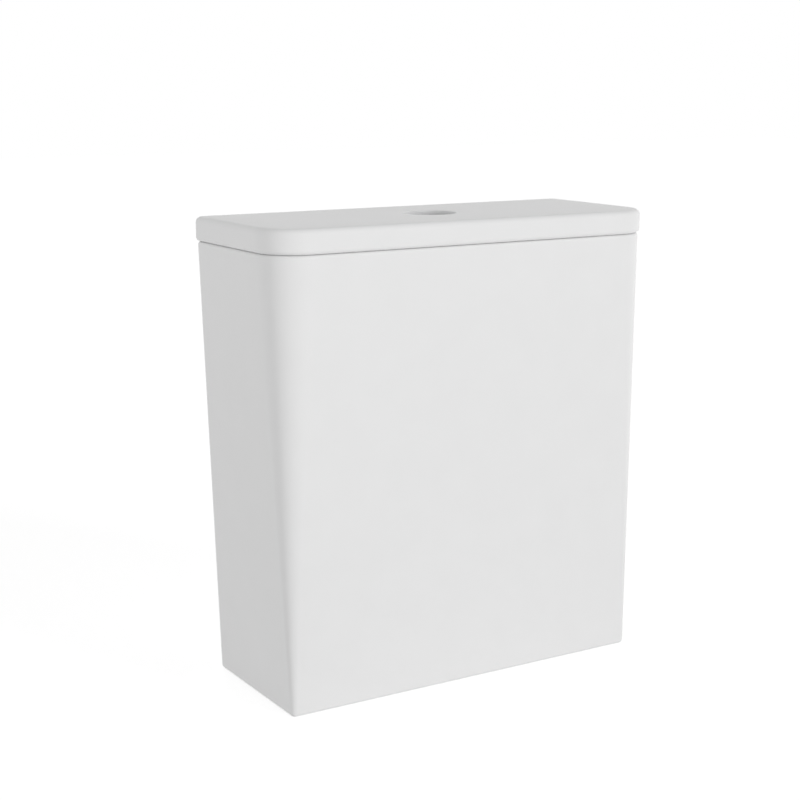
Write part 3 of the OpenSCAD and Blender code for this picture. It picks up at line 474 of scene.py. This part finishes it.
# the lid is one closed loop of rings too: outer edge, underside, lip, hollow, button hole and top
def lidShell():
    p = lid
    s, c = quarterTurn(10)
    s5, c5 = quarterTurn(5)
    bottom, top = p["bottom"], p["top"]
    edge = lidRings(top - p["topEdge"] * (1 - c), p["topEdge"] * (1 - s))
    side = lidRings(np.linspace(top - p["topEdge"], bottom + p["underEdge"], 5)[1:-1], 0)
    under = lidRings(bottom + p["underEdge"] * (1 - s), p["underEdge"] * (1 - c))
    tip = bottom - p["lipDrop"]
    lipOut = lipRings(np.array([bottom, bottom - p["guard"], tip + p["lipEdge"] + p["lipGuard"]]), 0)
    lipLow = lipRings(tip + p["lipEdge"] * (1 - s5), p["lipEdge"] * (1 - c5))
    lipHigh = lipRings(tip + p["lipEdge"] * (1 - c5), p["lipT"] - p["lipEdge"] * (1 - s5))
    lipIn = lipRings(np.array([bottom - p["guard"], bottom]), p["lipT"])
    plateZ = top - p["plate"]
    hollow = lidRings(np.array([bottom, plateZ - p["fillet"] - p["guard"]]), p["rim"])
    ceiling = lidRings(plateZ - p["fillet"] * (1 - s5), p["rim"] + p["fillet"] * (1 - c5))
    shares = np.linspace(0, 1, 9)[1:]
    inner = toCircle(ceiling[-1], p["holeR"] + p["holeBreak"], shares, plateZ)
    angle = np.arctan2(inner[-1, :, 1], inner[-1, :, 0])
    # button hole: straight wall with a small break below and a rounded edge above
    wallZ = np.array([plateZ + p["holeBreak"], plateZ + p["breakGuard"],
                      top - p["holeEdge"] - p["holeGuard"]])
    holeR = np.r_[np.full(3, p["holeR"]), p["holeR"] + p["holeEdge"] * (1 - c5)]
    holeZ = np.r_[wallZ, top - p["holeEdge"] * (1 - s5)]
    hole = np.stack([holeR[:, None] * np.cos(angle), holeR[:, None] * np.sin(angle),
                     np.broadcast_to(holeZ[:, None], (len(holeZ), len(angle)))], -1)
    plate = toCircle(edge[0], p["holeR"] + p["holeEdge"], shares[::-1][1:], top)
    rings = [edge, side, under, lipOut, lipLow, lipHigh, lipIn, hollow, ceiling, inner, hole, plate]
    return shellOf(np.concatenate(rings), True)

# round holes are cut from a finished piece: each is (x, y, z, axis, radius, length), cut by a turned rod
def cutHoles(piece, holes):
    shells = []
    for x, y, z, axis, r, length in holes:
        rod = np.array([(0, -length / 2), (r, -length / 2), (r, length / 2), (0, length / 2)], float)
        shells.append(turned(rod, (x, y, z), 48, looped=False, axis=axis))
    knife = addMesh("holes", *joinShells(shells))
    cut = piece.modifiers.new("holes", "BOOLEAN")
    cut.operation = "DIFFERENCE"
    cut.solver = "EXACT"
    cut.object = knife
    applyModifier(piece, cut)
    bpy.data.objects.remove(knife)
    shadeSmooth(piece.data, creaseAngle)

# holes for the inlet and the two pan bolts in the floor, and for two wall screws in the back
tankHoles = {"inletX": 122, "inletR": 11.5, "boltX": 77.5, "boltR": 6, "screwX": 90, "screwZ": 300,
             "screwR": 4, "length": 20}
floorMiddle = (tank["underFloor"] + tank["floor"]) / 2
backMiddle = (tank["topD"] - tank["wall"]) / 2
holeList = [(tankHoles["inletX"], 0, floorMiddle, "z", tankHoles["inletR"], tankHoles["length"])]
for x in (tankHoles["boltX"], -tankHoles["boltX"]):
    holeList.append((x, 0, floorMiddle, "z", tankHoles["boltR"], tankHoles["length"]))
for x in (tankHoles["screwX"], -tankHoles["screwX"]):
    holeList.append((x, backMiddle, tankHoles["screwZ"], "y", tankHoles["screwR"], tankHoles["length"]))

tankPiece = makePiece("tankChina", "tank", [tankShell()], china)
cutHoles(tankPiece, holeList)
lidPiece = makePiece("lidChina", "lid", [lidShell()], china)
print("ceramic made:", len(tankPiece.data.polygons), "and", len(lidPiece.data.polygons), "faces")

# pads under the lid: they fill the seam between rim and lid
pads = {"x": 174.25, "y": 25, "width": 4, "length": 16, "corner": 1.6, "edge": 0.06}
padHalf = np.array([pads["width"], pads["length"], 0]) / 2
padShells = []
for x in (-pads["x"], pads["x"]):
    for y in (-pads["y"], pads["y"]):
        low = np.array([x, y, tank["height"]]) - padHalf
        high = np.array([x, y, lid["bottom"]]) + padHalf
        padShells.append(softBlock(low, high, pads["corner"], pads["edge"]))
makePiece("lidPadRubber", "lid_pads", padShells, sealRubber)

# flush outlet

outlet = {"boreR": 25, "seatBoreR": 24, "tailR": 30, "tailZ": 4, "flangeZ": 54, "flangeTop": 58,
          "flangeR": 44, "seatTop": 62, "seatR": 28, "pitch": 4, "threadDepth": 1.1, "threadTop": 50,
          "step": 0.6}
cage = {"legIn": 33.5, "legT": 6, "legW": 8, "legCorner": 1.2, "legEdge": 0.3, "legBite": 1, "ringZ": 96,
        "ringTop": 100, "r": 42, "bore": 33, "edge": 0.7}

# outlet base: threaded tail, flange and valve seat turned as one, four legs and the ring that they carry
def outletBase():
    p = outlet
    tail = softProfile([(p["boreR"], p["tailZ"], 0.5), (p["boreR"], p["flangeZ"], 0.2),
                        (p["seatBoreR"], p["flangeZ"], 0.2), (p["seatBoreR"], p["seatTop"], 0.7),
                        (p["seatR"], p["seatTop"], 0.7), (p["seatR"], p["flangeTop"], 1.2),
                        (p["flangeR"], p["flangeTop"], 1.0), (p["flangeR"], p["flangeZ"], 0.5),
                        (p["tailR"], p["flangeZ"], 0.2), (p["tailR"], p["tailZ"], 1.0)])
    tail = denser(tail, p["step"], p["tailZ"], p["threadTop"])
    screw = thread(p["tailR"], p["tailZ"], p["threadTop"], p["pitch"], p["threadDepth"])
    shells = [turned(tail, sides=96, reliefs=[screw])]
    shells.append(ringShell(cage, cage["ringZ"], cage["ringTop"], sides=96))
    low = np.array([cage["legIn"], -cage["legW"] / 2, p["flangeTop"] - cage["legBite"]])
    high = np.array([cage["legIn"] + cage["legT"], cage["legW"] / 2, cage["ringZ"] + cage["legBite"]])
    points, faces = softBlock(low, high, cage["legCorner"], cage["legEdge"])
    for turn in np.radians([45, 135, 225, 315]):
        c, s = math.cos(turn), math.sin(turn)
        shells.append((points @ np.array([[c, s, 0], [-s, c, 0], [0, 0, 1]]), faces))
    return shells

makePiece("outletBase", "valve_base", outletBase(), whiteAbs)

gasket = {"bore": 30.1, "r": 44, "low": 51, "high": 54, "edge": 0.9}
makePiece("outletGasket", "base_gasket",
          [ringShell(gasket, gasket["low"], gasket["high"], sides=96)], sealRubber)
washer = {"bore": 30.1, "r": 39, "low": 37, "high": 40, "edge": 0.5}
makePiece("outletWasher", "outlet_washer",
          [ringShell(washer, washer["low"], washer["high"], sides=96)], sealRubber)

# outlet backnut: a turned ring with eight lugs for a spanner
backnut = {"bore": 30.1, "r": 39, "low": 23, "high": 37, "edge": 0.9, "lugs": 8, "lugW": 8, "lugOut": 3}
nutLugs = lugs(backnut["r"], backnut["lugs"], backnut["lugW"], backnut["lugOut"])
makePiece("outletBacknut", "outlet_backnut",
          [ringShell(backnut, backnut["low"], backnut["high"], sides=256, reliefs=[nutLugs])], whiteAbs)

# foam ring that seals the outlet to the pan: a thick ring, sloped below, with shallow moulded grooves
coupling = {"bore": 30.1, "r": 45, "low": 7, "high": 23, "taper": 7, "taperEdge": 2.2, "edge": 1.5,
            "grooves": 3, "grooveDepth": 0.7, "plainTop": 1, "step": 0.5}
slopeTop = coupling["low"] + coupling["taper"]
couplingProfile = softProfile([
    (coupling["bore"], coupling["low"], coupling["edge"]),
    (coupling["r"] - coupling["taper"], coupling["low"], coupling["taperEdge"]),
    (coupling["r"], slopeTop, coupling["taperEdge"]), (coupling["r"], coupling["high"], coupling["edge"]),
    (coupling["bore"], coupling["high"], coupling["edge"])])
couplingProfile = denser(couplingProfile, coupling["step"], coupling["low"], coupling["high"])

# grooves round the outer wall: a smooth dip in the radius at even heights
def sealGrooves(r, z, angle):
    share = np.clip((z - slopeTop) / (coupling["high"] - coupling["plainTop"] - slopeTop), 0, 1)
    dip = np.maximum(0, -np.cos(share * 2 * coupling["grooves"] * math.pi)) ** 2
    onWall = r > coupling["r"] - 0.5
    return -coupling["grooveDepth"] * dip * onWall

makePiece("couplingSeal", "coupling_seal",
          [turned(couplingProfile, sides=96, reliefs=[sealGrooves])], foamRubber)

# flush valve

mouldedPiece("floatHousing", "valve_housing", palePlastic, width=0.35)
mouldedPiece("rockerTower", "valve_tower", whiteAbs, width=0.5)

# rocker pins: a headed pin along the depth, its end rounded over
rockerPin = {"x": 16, "z": 318, "r": 2, "headR": 3.5, "front": -23.5, "headBack": -21.5, "back": 24.5}
pinProfile = softProfile([(0, rockerPin["front"], 0), (rockerPin["headR"], rockerPin["front"], 0.8),
                          (rockerPin["headR"], rockerPin["headBack"], 0.2),
                          (rockerPin["r"], rockerPin["headBack"], 0),
                          (rockerPin["r"], rockerPin["back"], 0.6), (0, rockerPin["back"], 0)])
makePiece("rockerPins", "rocker_pins",
          [turned(pinProfile, (x, 0, rockerPin["z"]), 40, looped=False, axis="y")
           for x in (-rockerPin["x"], rockerPin["x"])], steel)

# overflow tube: a long tube with a disc that carries the seal, a stop under the float and rounded mouths
tube = {"r": 15.5, "bore": 13, "low": 58.5, "high": 284, "discR": 28, "discLow": 65, "discTop": 69,
        "stopR": 18.5, "stopLow": 109, "stopTop": 112}
tubeProfile = softProfile([
    (tube["bore"], tube["low"], 0.5), (tube["r"], tube["low"], 0.5), (tube["r"], tube["discLow"], 0.1),
    (tube["discR"], tube["discLow"], 0.6), (tube["discR"], tube["discTop"], 0.8),
    (tube["r"], tube["discTop"], 2.0), (tube["r"], tube["stopLow"], 0.5),
    (tube["stopR"], tube["stopLow"], 0.6), (tube["stopR"], tube["stopTop"], 0.3),
    (tube["r"], tube["stopTop"], 0.1), (tube["r"], tube["high"], 1.1), (tube["bore"], tube["high"], 1.1)])
makePiece("overflowTube", "overflow_tube", [turned(tubeProfile, sides=80)], greyAbs)

# flush seal: a flat ring whose rim thins to a rounded lip
flushRing = {"bore": 15.6, "r": 31.5, "low": 62, "high": 65, "lipT": 1.8, "slope": 3.2}
flushProfile = softProfile([
    (flushRing["bore"], flushRing["low"], 0.2), (flushRing["r"], flushRing["low"], 0.8),
    (flushRing["r"], flushRing["low"] + flushRing["lipT"], 0.8),
    (flushRing["r"] - flushRing["slope"], flushRing["high"], 0.6),
    (flushRing["bore"], flushRing["high"], 0.2)])
makePiece("flushSeal", "flush_seal", [turned(flushProfile, sides=80)], sealRubber)
retainer = {"bore": 15.6, "r": 20, "low": 58.5, "high": 62, "edge": 0.5}
makePiece("sealRetainer", "seal_retainer",
          [ringShell(retainer, retainer["low"], retainer["high"], sides=72)], whiteAbs)

# a valve float: a ring-shaped cup open underneath, as one looped profile down the outside and up the inside
valveFloat = {"r": 34, "wall": 1.8, "fullBore": 15.6, "halfBore": 16}

def valveFloatShell(node, bore):
    low, high = boxOf(node)[0][2], boxOf(node)[1][2]
    outer, wall = valveFloat["r"], valveFloat["wall"]
    profile = softProfile([
        (outer, low, 0.6), (outer, high, 2.0), (bore, high, 0.8), (bore, low, 0.6), (bore + wall, low, 0.5),
        (bore + wall, high - wall, 0.8), (outer - wall, high - wall, 1.0), (outer - wall, low, 0.5)])
    return turned(profile, sides=80)

makePiece("fullFloat", "full_float", [valveFloatShell("full_float", valveFloat["fullBore"])], palePlastic)
makePiece("halfFloat", "half_float", [valveFloatShell("half_float", valveFloat["halfBore"])], palePlastic)
mouldedPiece("liftHanger", "lift_hanger", blueAcetal, width=0.45)
mouldedPiece("halfLiftRod", "half_lift_rod", greenAcetal, width=0.45)
mouldedPiece("fullRocker", "full_rocker", blueAcetal, width=0.45)
mouldedPiece("halfRocker", "half_rocker", greenAcetal, width=0.45)
print("flush valve made")

# flush buttons

carrier = {"r": 20.5, "wellR": 18.5, "lipR": 17.2, "low": 352, "floorTop": 355, "lipZ": 379.5, "top": 381}
carrierPiece = makePiece("buttonCarrier", "button_carrier", [turned(softProfile([
    (0, carrier["low"], 0), (carrier["r"], carrier["low"], 0.8), (carrier["r"], carrier["top"], 1.1),
    (carrier["lipR"], carrier["top"], 0.7), (carrier["lipR"], carrier["lipZ"], 0.2),
    (carrier["wellR"], carrier["lipZ"], 0.2), (carrier["wellR"], carrier["floorTop"], 1.0),
    (0, carrier["floorTop"], 0)]), sides=96, looped=False)], greyAbs)
rods = {"x": 8.5, "y": -6, "r": 2.5, "low": 321.3, "high": 374, "holeR": 3, "holeLength": 8}
rodHoleZ = (carrier["low"] + carrier["floorTop"]) / 2
cutHoles(carrierPiece,
         [(side * rods["x"], side * rods["y"], rodHoleZ, "z", rods["holeR"], rods["holeLength"])
          for side in (1, -1)])

# side 1 is the full-flush button and -1 the half-flush one; middle is how far a point inside it lies from
# the axis, and a higher blend makes tighter corners
button = {"capR": 16.9, "flangeR": 18.2, "low": 374, "flangeTop": 379.2, "top": 381, "edge": 0.9,
          "dish": 0.55, "splitX": -3, "gap": 0.8, "blend": 2.6, "middle": {1: 6.0, -1: 8.0}, "guard": 0.1}

# a button is a disc cut off along a straight line: from a point inside it, the radius at each angle is the
# smaller of the ways to the circle and to the line, blended so that the two corners are rounded
def buttonRings(side, radius, inset, z, sides=144):
    radius, inset, z = (np.asarray(v, float)[:, None] for v in (radius, inset, z))
    angle = np.linspace(0, 2 * math.pi, sides, endpoint=False)[None, :]
    line = side * button["splitX"] + button["gap"] / 2 + inset
    middle = button["middle"][side]
    arc = -middle * np.cos(angle) + np.sqrt((radius - inset) ** 2 - (middle * np.sin(angle)) ** 2)
    straight = (middle - line) / np.maximum(-np.cos(angle), 1e-3)
    k = button["blend"]
    r = -np.logaddexp(-k * arc, -k * straight) / k
    x = side * (middle + r * np.cos(angle))
    return np.stack([x, side * r * np.sin(angle), np.broadcast_to(z, r.shape)], -1)

# rows climb from the flange over the rounded edge; the top then sinks towards the middle as a shallow dish
def buttonShell(side):
    p = button
    s, c = quarterTurn(6)
    rim = p["top"] - p["edge"]
    radius = np.r_[[p["flangeR"]] * 2, [p["capR"]] * 2, np.full(len(s), p["capR"])]
    z = np.r_[p["low"], p["flangeTop"], p["flangeTop"], rim - p["guard"], rim + p["edge"] * s]
    inset = np.r_[0, 0, 0, 0, p["edge"] * (1 - c)]
    rings = buttonRings(side, radius, inset, z)
    share = np.linspace(1, 0, 14)[1:-1]
    middle = rings[-1].mean(0)
    top = middle + (rings[-1] - middle) * share[:, None, None]
    top[..., 2] = p["top"] - p["dish"] * np.sin((1 - share) * math.pi / 2)[:, None] ** 2
    return cappedShell(np.concatenate([rings, top]))

makePiece("fullButton", "full_button", [buttonShell(1)], chrome)
makePiece("halfButton", "half_button", [buttonShell(-1)], chrome)

rodProfile = softProfile([(0, rods["low"], 0), (rods["r"], rods["low"], 1.2),
                          (rods["r"], rods["high"], 0.2), (0, rods["high"], 0)])
for name, node, material, side in (("fullPushRod", "full_push_rod", blueAcetal, 1),
                                   ("halfPushRod", "half_push_rod", greenAcetal, -1)):
    place = (side * rods["x"], side * rods["y"], 0)
    makePiece(name, node, [turned(rodProfile, place, 40, looped=False)], material)

spring = {"low": 355.55, "high": 373.45, "r": 4.25, "wire": 0.9, "turns": 6, "dead": 0.7, "press": 8,
          "turnSteps": 28, "wireSides": 12, "crease": 60}

# return spring: a circle of wire carried round a helix that lies flat for part of a turn at both ends
def springShell(side):
    p = spring
    turn = np.linspace(0, p["turns"], p["turns"] * p["turnSteps"] + 1)
    rise = np.clip((turn - p["dead"]) / (p["turns"] - 2 * p["dead"]), 0, 1)
    a = turn * 2 * math.pi
    height = p["low"] + (p["high"] - p["low"]) * rise
    middle = np.stack([p["r"] * np.cos(a), p["r"] * np.sin(a), height], -1)
    along = np.gradient(middle, axis=0)
    along /= np.linalg.norm(along, axis=1, keepdims=True)
    out = np.stack([np.cos(a), np.sin(a), np.zeros_like(a)], -1)
    up = np.cross(along, out)
    b = np.linspace(0, 2 * math.pi, p["wireSides"], endpoint=False)[None, :, None]
    rings = middle[:, None] + p["wire"] / 2 * (np.cos(b) * out[:, None] + np.sin(b) * up[:, None])
    return cappedShell(rings + np.array([side * rods["x"], side * rods["y"], 0]))

for name, node, joint, side in (("fullSpring", "full_spring", "full_press", 1),
                                ("halfSpring", "half_spring", "half_press", -1)):
    springPiece = makePiece(name, node, [springShell(side)], steel, spring["crease"])
    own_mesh(springPiece)
print("flush buttons made")

# pan bolts

bolt = {"x": 77.5, "r": 4, "low": 5, "reliefLow": 30.5, "reliefTop": 32, "relief": 0.6, "headZ": 58.5,
        "headTop": 63.5, "hex": 15, "chamfer": 0.75, "faceIn": 0.3, "pitch": 1.25, "threadDepth": 0.62,
        "threadTop": 48, "step": 0.18, "crease": 40}
nut = {"low": 32, "high": 38.5, "bore": 4.1, "edge": 0.4, "step": 0.25, "crease": 30}
coneWasher = {"bore": 4.1, "lowR": 15, "highR": 13, "low": 51, "high": 57}
plateWasher = {"bore": 4.1, "r": 11, "thick": 1.5, "edge": 0.35, "lows": (57, 38.5)}

# radius of the round end face that the cone leaves on a hexagon
hexFace = bolt["hex"] / 2 * math.cos(math.pi / 6) - bolt["faceIn"]

# bolt: a threaded shank with a groove under the nut, and a hexagon head, its corners turned off by a cone
def boltShell(x):
    p = bolt
    profile = softProfile([
        (0, p["low"], 0), (p["r"], p["low"], 0.9), (p["r"], p["reliefLow"], 0.2),
        (p["r"] - p["relief"], p["reliefLow"], 0.2), (p["r"] - p["relief"], p["reliefTop"], 0.2),
        (p["r"], p["reliefTop"], 0.2), (p["r"], p["headZ"], 0), (p["hex"] / 2, p["headZ"], 0),
        (p["hex"] / 2, p["headTop"] - p["chamfer"], 0), (hexFace, p["headTop"], 0), (0, p["headTop"], 0)])
    profile = denser(profile, p["step"], p["low"], p["headTop"])
    reliefs = [hexagon(p["hex"]), thread(p["r"], p["low"], p["reliefLow"], p["pitch"], p["threadDepth"]),
               thread(p["r"], p["reliefTop"], p["threadTop"], p["pitch"], p["threadDepth"])]
    return turned(profile, (x, 0, 0), 72, looped=False, reliefs=reliefs)

# hexagon nut: both ends are turned off by a cone
def nutShell(x):
    p = nut
    outer, chamfer = bolt["hex"] / 2, bolt["chamfer"]
    profile = softProfile([
        (p["bore"], p["low"], p["edge"]), (hexFace, p["low"], 0), (outer, p["low"] + chamfer, 0),
        (outer, p["high"] - chamfer, 0), (hexFace, p["high"], 0), (p["bore"], p["high"], p["edge"])])
    profile = denser(profile, p["step"], p["low"], p["high"])
    return turned(profile, (x, 0, 0), 72, reliefs=[hexagon(bolt["hex"])])

bothBolts = (-bolt["x"], bolt["x"])
makePiece("panBolts", "pan_bolts", [boltShell(x) for x in bothBolts], brass, bolt["crease"])
makePiece("panBoltNuts", "bolt_nuts", [nutShell(x) for x in bothBolts], brass, nut["crease"])
coneProfile = softProfile([
    (coneWasher["bore"], coneWasher["low"], 0.3), (coneWasher["lowR"], coneWasher["low"], 1.0),
    (coneWasher["highR"], coneWasher["high"], 1.4), (coneWasher["bore"], coneWasher["high"], 0.3)])
makePiece("boltConeWashers", "bolt_cone_washers",
          [turned(coneProfile, (x, 0, 0)) for x in bothBolts], sealRubber)
makePiece("boltPlateWashers", "bolt_plate_washers",
          [ringShell(plateWasher, low, low + plateWasher["thick"], x)
           for x in bothBolts for low in plateWasher["lows"]], steel)

# fill valve

inlet = {"x": 122, "tailR": 10.45, "low": 6, "reliefLow": 29.5, "reliefTop": 31, "relief": 0.6,
         "flangeLow": 54, "flangeTop": 58, "flangeR": 18, "pipeR": 7.5, "top": 311.7, "bore": 5,
         "pitch": 1.814, "threadDepth": 0.85, "threadTop": 50, "step": 0.3}

# inlet: a threaded tail with a groove under the nut, a flange, and the pipe that rises to the head
def inletShell():
    p = inlet
    profile = softProfile([
        (p["bore"], p["low"], 0.5), (p["tailR"], p["low"], 0.6), (p["tailR"], p["reliefLow"], 0.2),
        (p["tailR"] - p["relief"], p["reliefLow"], 0.2), (p["tailR"] - p["relief"], p["reliefTop"], 0.2),
        (p["tailR"], p["reliefTop"], 0.2), (p["tailR"], p["flangeLow"], 0.2),
        (p["flangeR"], p["flangeLow"], 0.5), (p["flangeR"], p["flangeTop"], 0.8),
        (p["pipeR"], p["flangeTop"], 1.0), (p["pipeR"], p["top"], 0.5), (p["bore"], p["top"], 0.5)])
    profile = denser(profile, p["step"], p["low"], p["threadTop"])
    reliefs = [thread(p["tailR"], p["low"], p["reliefLow"], p["pitch"], p["threadDepth"]),
               thread(p["tailR"], p["reliefTop"], p["threadTop"], p["pitch"], p["threadDepth"])]
    return turned(profile, (p["x"], 0, 0), reliefs=reliefs)

makePiece("inletShank", "fill_shank", [inletShell()], whiteAbs)
mouldedPiece("inletSleeve", "fill_sleeve", greyAbs, width=0.3)
inletRing = {"bore": 10.55, "r": 18, "low": 51, "high": 54, "edge": 0.8}
makePiece("inletGasket", "fill_gasket",
          [ringShell(inletRing, inletRing["low"], inletRing["high"], inlet["x"])], sealRubber)
wingNut = {"bore": 10.55, "r": 17, "low": 31, "high": 40, "edge": 0.8, "wings": 6, "wingW": 7, "wingOut": 2}
wings = lugs(wingNut["r"], wingNut["wings"], wingNut["wingW"], wingNut["wingOut"])
makePiece("inletBacknut", "fill_backnut",
          [ringShell(wingNut, wingNut["low"], wingNut["high"], inlet["x"], 192, [wings])], whiteAbs)
mouldedPiece("inletFilter", "inlet_filter", blueAcetal, width=0.12)
mouldedPiece("valveHead", "fill_head", whiteAbs, width=0.6)
diaphragm = {"r": 20, "low": 312, "high": 314, "edge": 0.6}
diaphragmProfile = softProfile([
    (0, diaphragm["low"], 0), (diaphragm["r"], diaphragm["low"], diaphragm["edge"]),
    (diaphragm["r"], diaphragm["high"], diaphragm["edge"]), (0, diaphragm["high"], 0)])
makePiece("valveDiaphragm", "diaphragm",
          [turned(diaphragmProfile, (inlet["x"], 0, 0), looped=False)], sealRubber)
mouldedPiece("valveCap", "fill_cap", greyAbs, width=0.6)

leverPin = {"x": 112, "r": 1.5, "half": 8.5, "edge": 0.4}
leverZ = boxOf("lever_pin")[0][2] + leverPin["r"]
leverProfile = softProfile([
    (0, -leverPin["half"], 0), (leverPin["r"], -leverPin["half"], leverPin["edge"]),
    (leverPin["r"], leverPin["half"], leverPin["edge"]), (0, leverPin["half"], 0)])
makePiece("leverPin", "lever_pin",
          [turned(leverProfile, (leverPin["x"], 0, leverZ), 32, looped=False, axis="y")], steel)
mouldedPiece("floatLever", "fill_lever", whiteAbs, width=0.45)
mouldedPiece("leverPad", "lever_pad", sealRubber, width=0.25)
mouldedPiece("floatCup", "float_cup", blackPlastic, width=0.7)

# link rod: a threaded rod with two collars that hold the lever's fork; its thread is drawn a little coarse
link = {"r": 2, "collarR": 6, "collarT": 2, "collarGap": 6.6, "over": 3, "threadTop": 300, "pitch": 1.0,
        "threadDepth": 0.4, "step": 0.16, "crease": 40}
linkLow, linkHigh = boxOf("link_rod")
linkX = (linkLow[0] + linkHigh[0]) / 2
linkFoot, linkTop = linkLow[2], linkHigh[2]
topCollar = linkTop - link["over"]
lowCollar = topCollar - 2 * link["collarT"] - link["collarGap"]
linkProfile = softProfile([
    (0, linkFoot, 0), (link["r"], linkFoot, 0.5), (link["r"], lowCollar, 0.3),
    (link["collarR"], lowCollar, 0.5), (link["collarR"], lowCollar + link["collarT"], 0.5),
    (link["r"], lowCollar + link["collarT"], 0.3), (link["r"], topCollar - link["collarT"], 0.3),
    (link["collarR"], topCollar - link["collarT"], 0.5), (link["collarR"], topCollar, 0.5),
    (link["r"], topCollar, 0.3), (link["r"], linkTop, 0.8), (0, linkTop, 0)])
linkProfile = denser(linkProfile, link["step"], linkFoot, link["threadTop"])
linkThread = thread(link["r"], linkFoot, link["threadTop"], link["pitch"], link["threadDepth"])
linkShell = turned(linkProfile, (linkX, 0, 0), 32, looped=False, reliefs=[linkThread])
makePiece("linkRod", "link_rod", [linkShell], brass, link["crease"])

# level nuts: round nuts with a ribbed grip
levelNut = {"bore": 2.1, "r": 4.6, "edge": 0.6, "height": 5, "ribs": 20, "ribW": 0.7, "ribOut": 0.4,
            "ribSlope": 0.4, "ribFade": 0.6}
ribs = lugs(levelNut["r"], levelNut["ribs"], levelNut["ribW"], levelNut["ribOut"], levelNut["ribSlope"],
            levelNut["ribFade"])
levelLow, levelHigh = boxOf("level_nuts")
makePiece("levelNuts", "level_nuts",
          [ringShell(levelNut, low, low + levelNut["height"], linkX, 160, [ribs])
           for low in (levelLow[2], levelHigh[2] - levelNut["height"])], whiteAbs)
print("fill valve made")

# studio

studio = {"lens": 72.747, "sensor": 36, "azimuth": -31.343, "elevation": 11.548,
          "target": (-0.028958, 0, 0.231427), "distance": 1.356526, "ambient": 0.402, "lampSpread": 16,
          "paper": "F4F4F4", "floorGlow": 0.585, "floorReach": 8.0}
lamps = {"key": {"azimuth": 26, "elevation": 5, "strength": 1.545},
         "side": {"azimuth": -80, "elevation": 3, "strength": 0.8},
         "back": {"azimuth": 160, "elevation": 3, "strength": 1.1}}
white = (1, 1, 1, 1)

# the camera stands back from its target along the line of sight
turn, tilt = math.radians(studio["azimuth"]), math.radians(studio["elevation"])
away = np.array([math.sin(turn) * math.cos(tilt), -math.cos(turn) * math.cos(tilt), math.sin(tilt)])
camera = bpy.data.cameras.new("camera")
camera.lens = studio["lens"]
camera.sensor_width = studio["sensor"]
cameraObject = addObject("camera", camera)
cameraObject.location = np.array(studio["target"]) + away * studio["distance"]
cameraObject.rotation_euler = (math.pi / 2 - tilt, 0, turn)
scene.camera = cameraObject

# wide soft lights from far off: azimuth goes from the front towards the right, and spread is their width,
# all in degrees
for name, p in lamps.items():
    light = bpy.data.lights.new(name, "SUN")
    light.energy = p["strength"]
    light.angle = math.radians(studio["lampSpread"])
    lamp = addObject(name, light)
    lamp.rotation_euler = (math.radians(90 - p["elevation"]), 0, math.radians(p["azimuth"]))
    lamp.visible_glossy = False

def mathNode(tree, operation, a, b):
    return addNode(tree, "ShaderNodeMath", {"operation": operation}, i0=a, i1=b).outputs[0]

# 1 for rays from the camera, also by way of a mirror-like or clear surface; 0 for the others, which light
# the object, and for what a mirror-like surface throws on to a dull one
def seenRay(tree):
    path = addNode(tree, "ShaderNodeLightPath").outputs
    seen = path["Is Camera Ray"]
    for ray in ("Is Glossy Ray", "Is Transmission Ray"):
        seen = mathNode(tree, "MAXIMUM", seen, path[ray])
    noDullBounce = mathNode(tree, "LESS_THAN", path["Diffuse Depth"], 0.5)
    return mathNode(tree, "MULTIPLY", seen, noDullBounce)

# world: white to the camera and in reflections, and a lower even level as light
world = bpy.data.worlds.new("studio")
scene.world = world
world.use_nodes = True
tree = world.node_tree
tree.nodes.clear()
level = mathNode(tree, "MAXIMUM", seenRay(tree), studio["ambient"])
sky = addNode(tree, "ShaderNodeBackground", Color=white, Strength=level)
addNode(tree, "ShaderNodeOutputWorld", Surface=sky.outputs[0])

# floor: pale paper that keeps the shadow, with a glow where it is seen so that its lit part is white
floorMesh = bpy.data.meshes.new("floor")
reach = studio["floorReach"]
floorMesh.from_pydata([(-reach, -reach, 0), (reach, -reach, 0), (reach, reach, 0), (-reach, reach, 0)],
                      [], [(0, 1, 2, 3)])
floorPiece = addObject("floor", floorMesh)
floorMaterial, tree = newMaterial("paleStudioPaper")
glow = mathNode(tree, "MULTIPLY", seenRay(tree), studio["floorGlow"])
paper = addNode(tree, "ShaderNodeBsdfDiffuse", Color=hexColour(studio["paper"]))
shine = addNode(tree, "ShaderNodeEmission", Color=white, Strength=glow)
sheet = addNode(tree, "ShaderNodeAddShader", i0=paper.outputs[0], i1=shine.outputs[0])
addNode(tree, "ShaderNodeOutputMaterial", Surface=sheet.outputs[0])
floorMesh.materials.append(floorMaterial)
print("studio made")
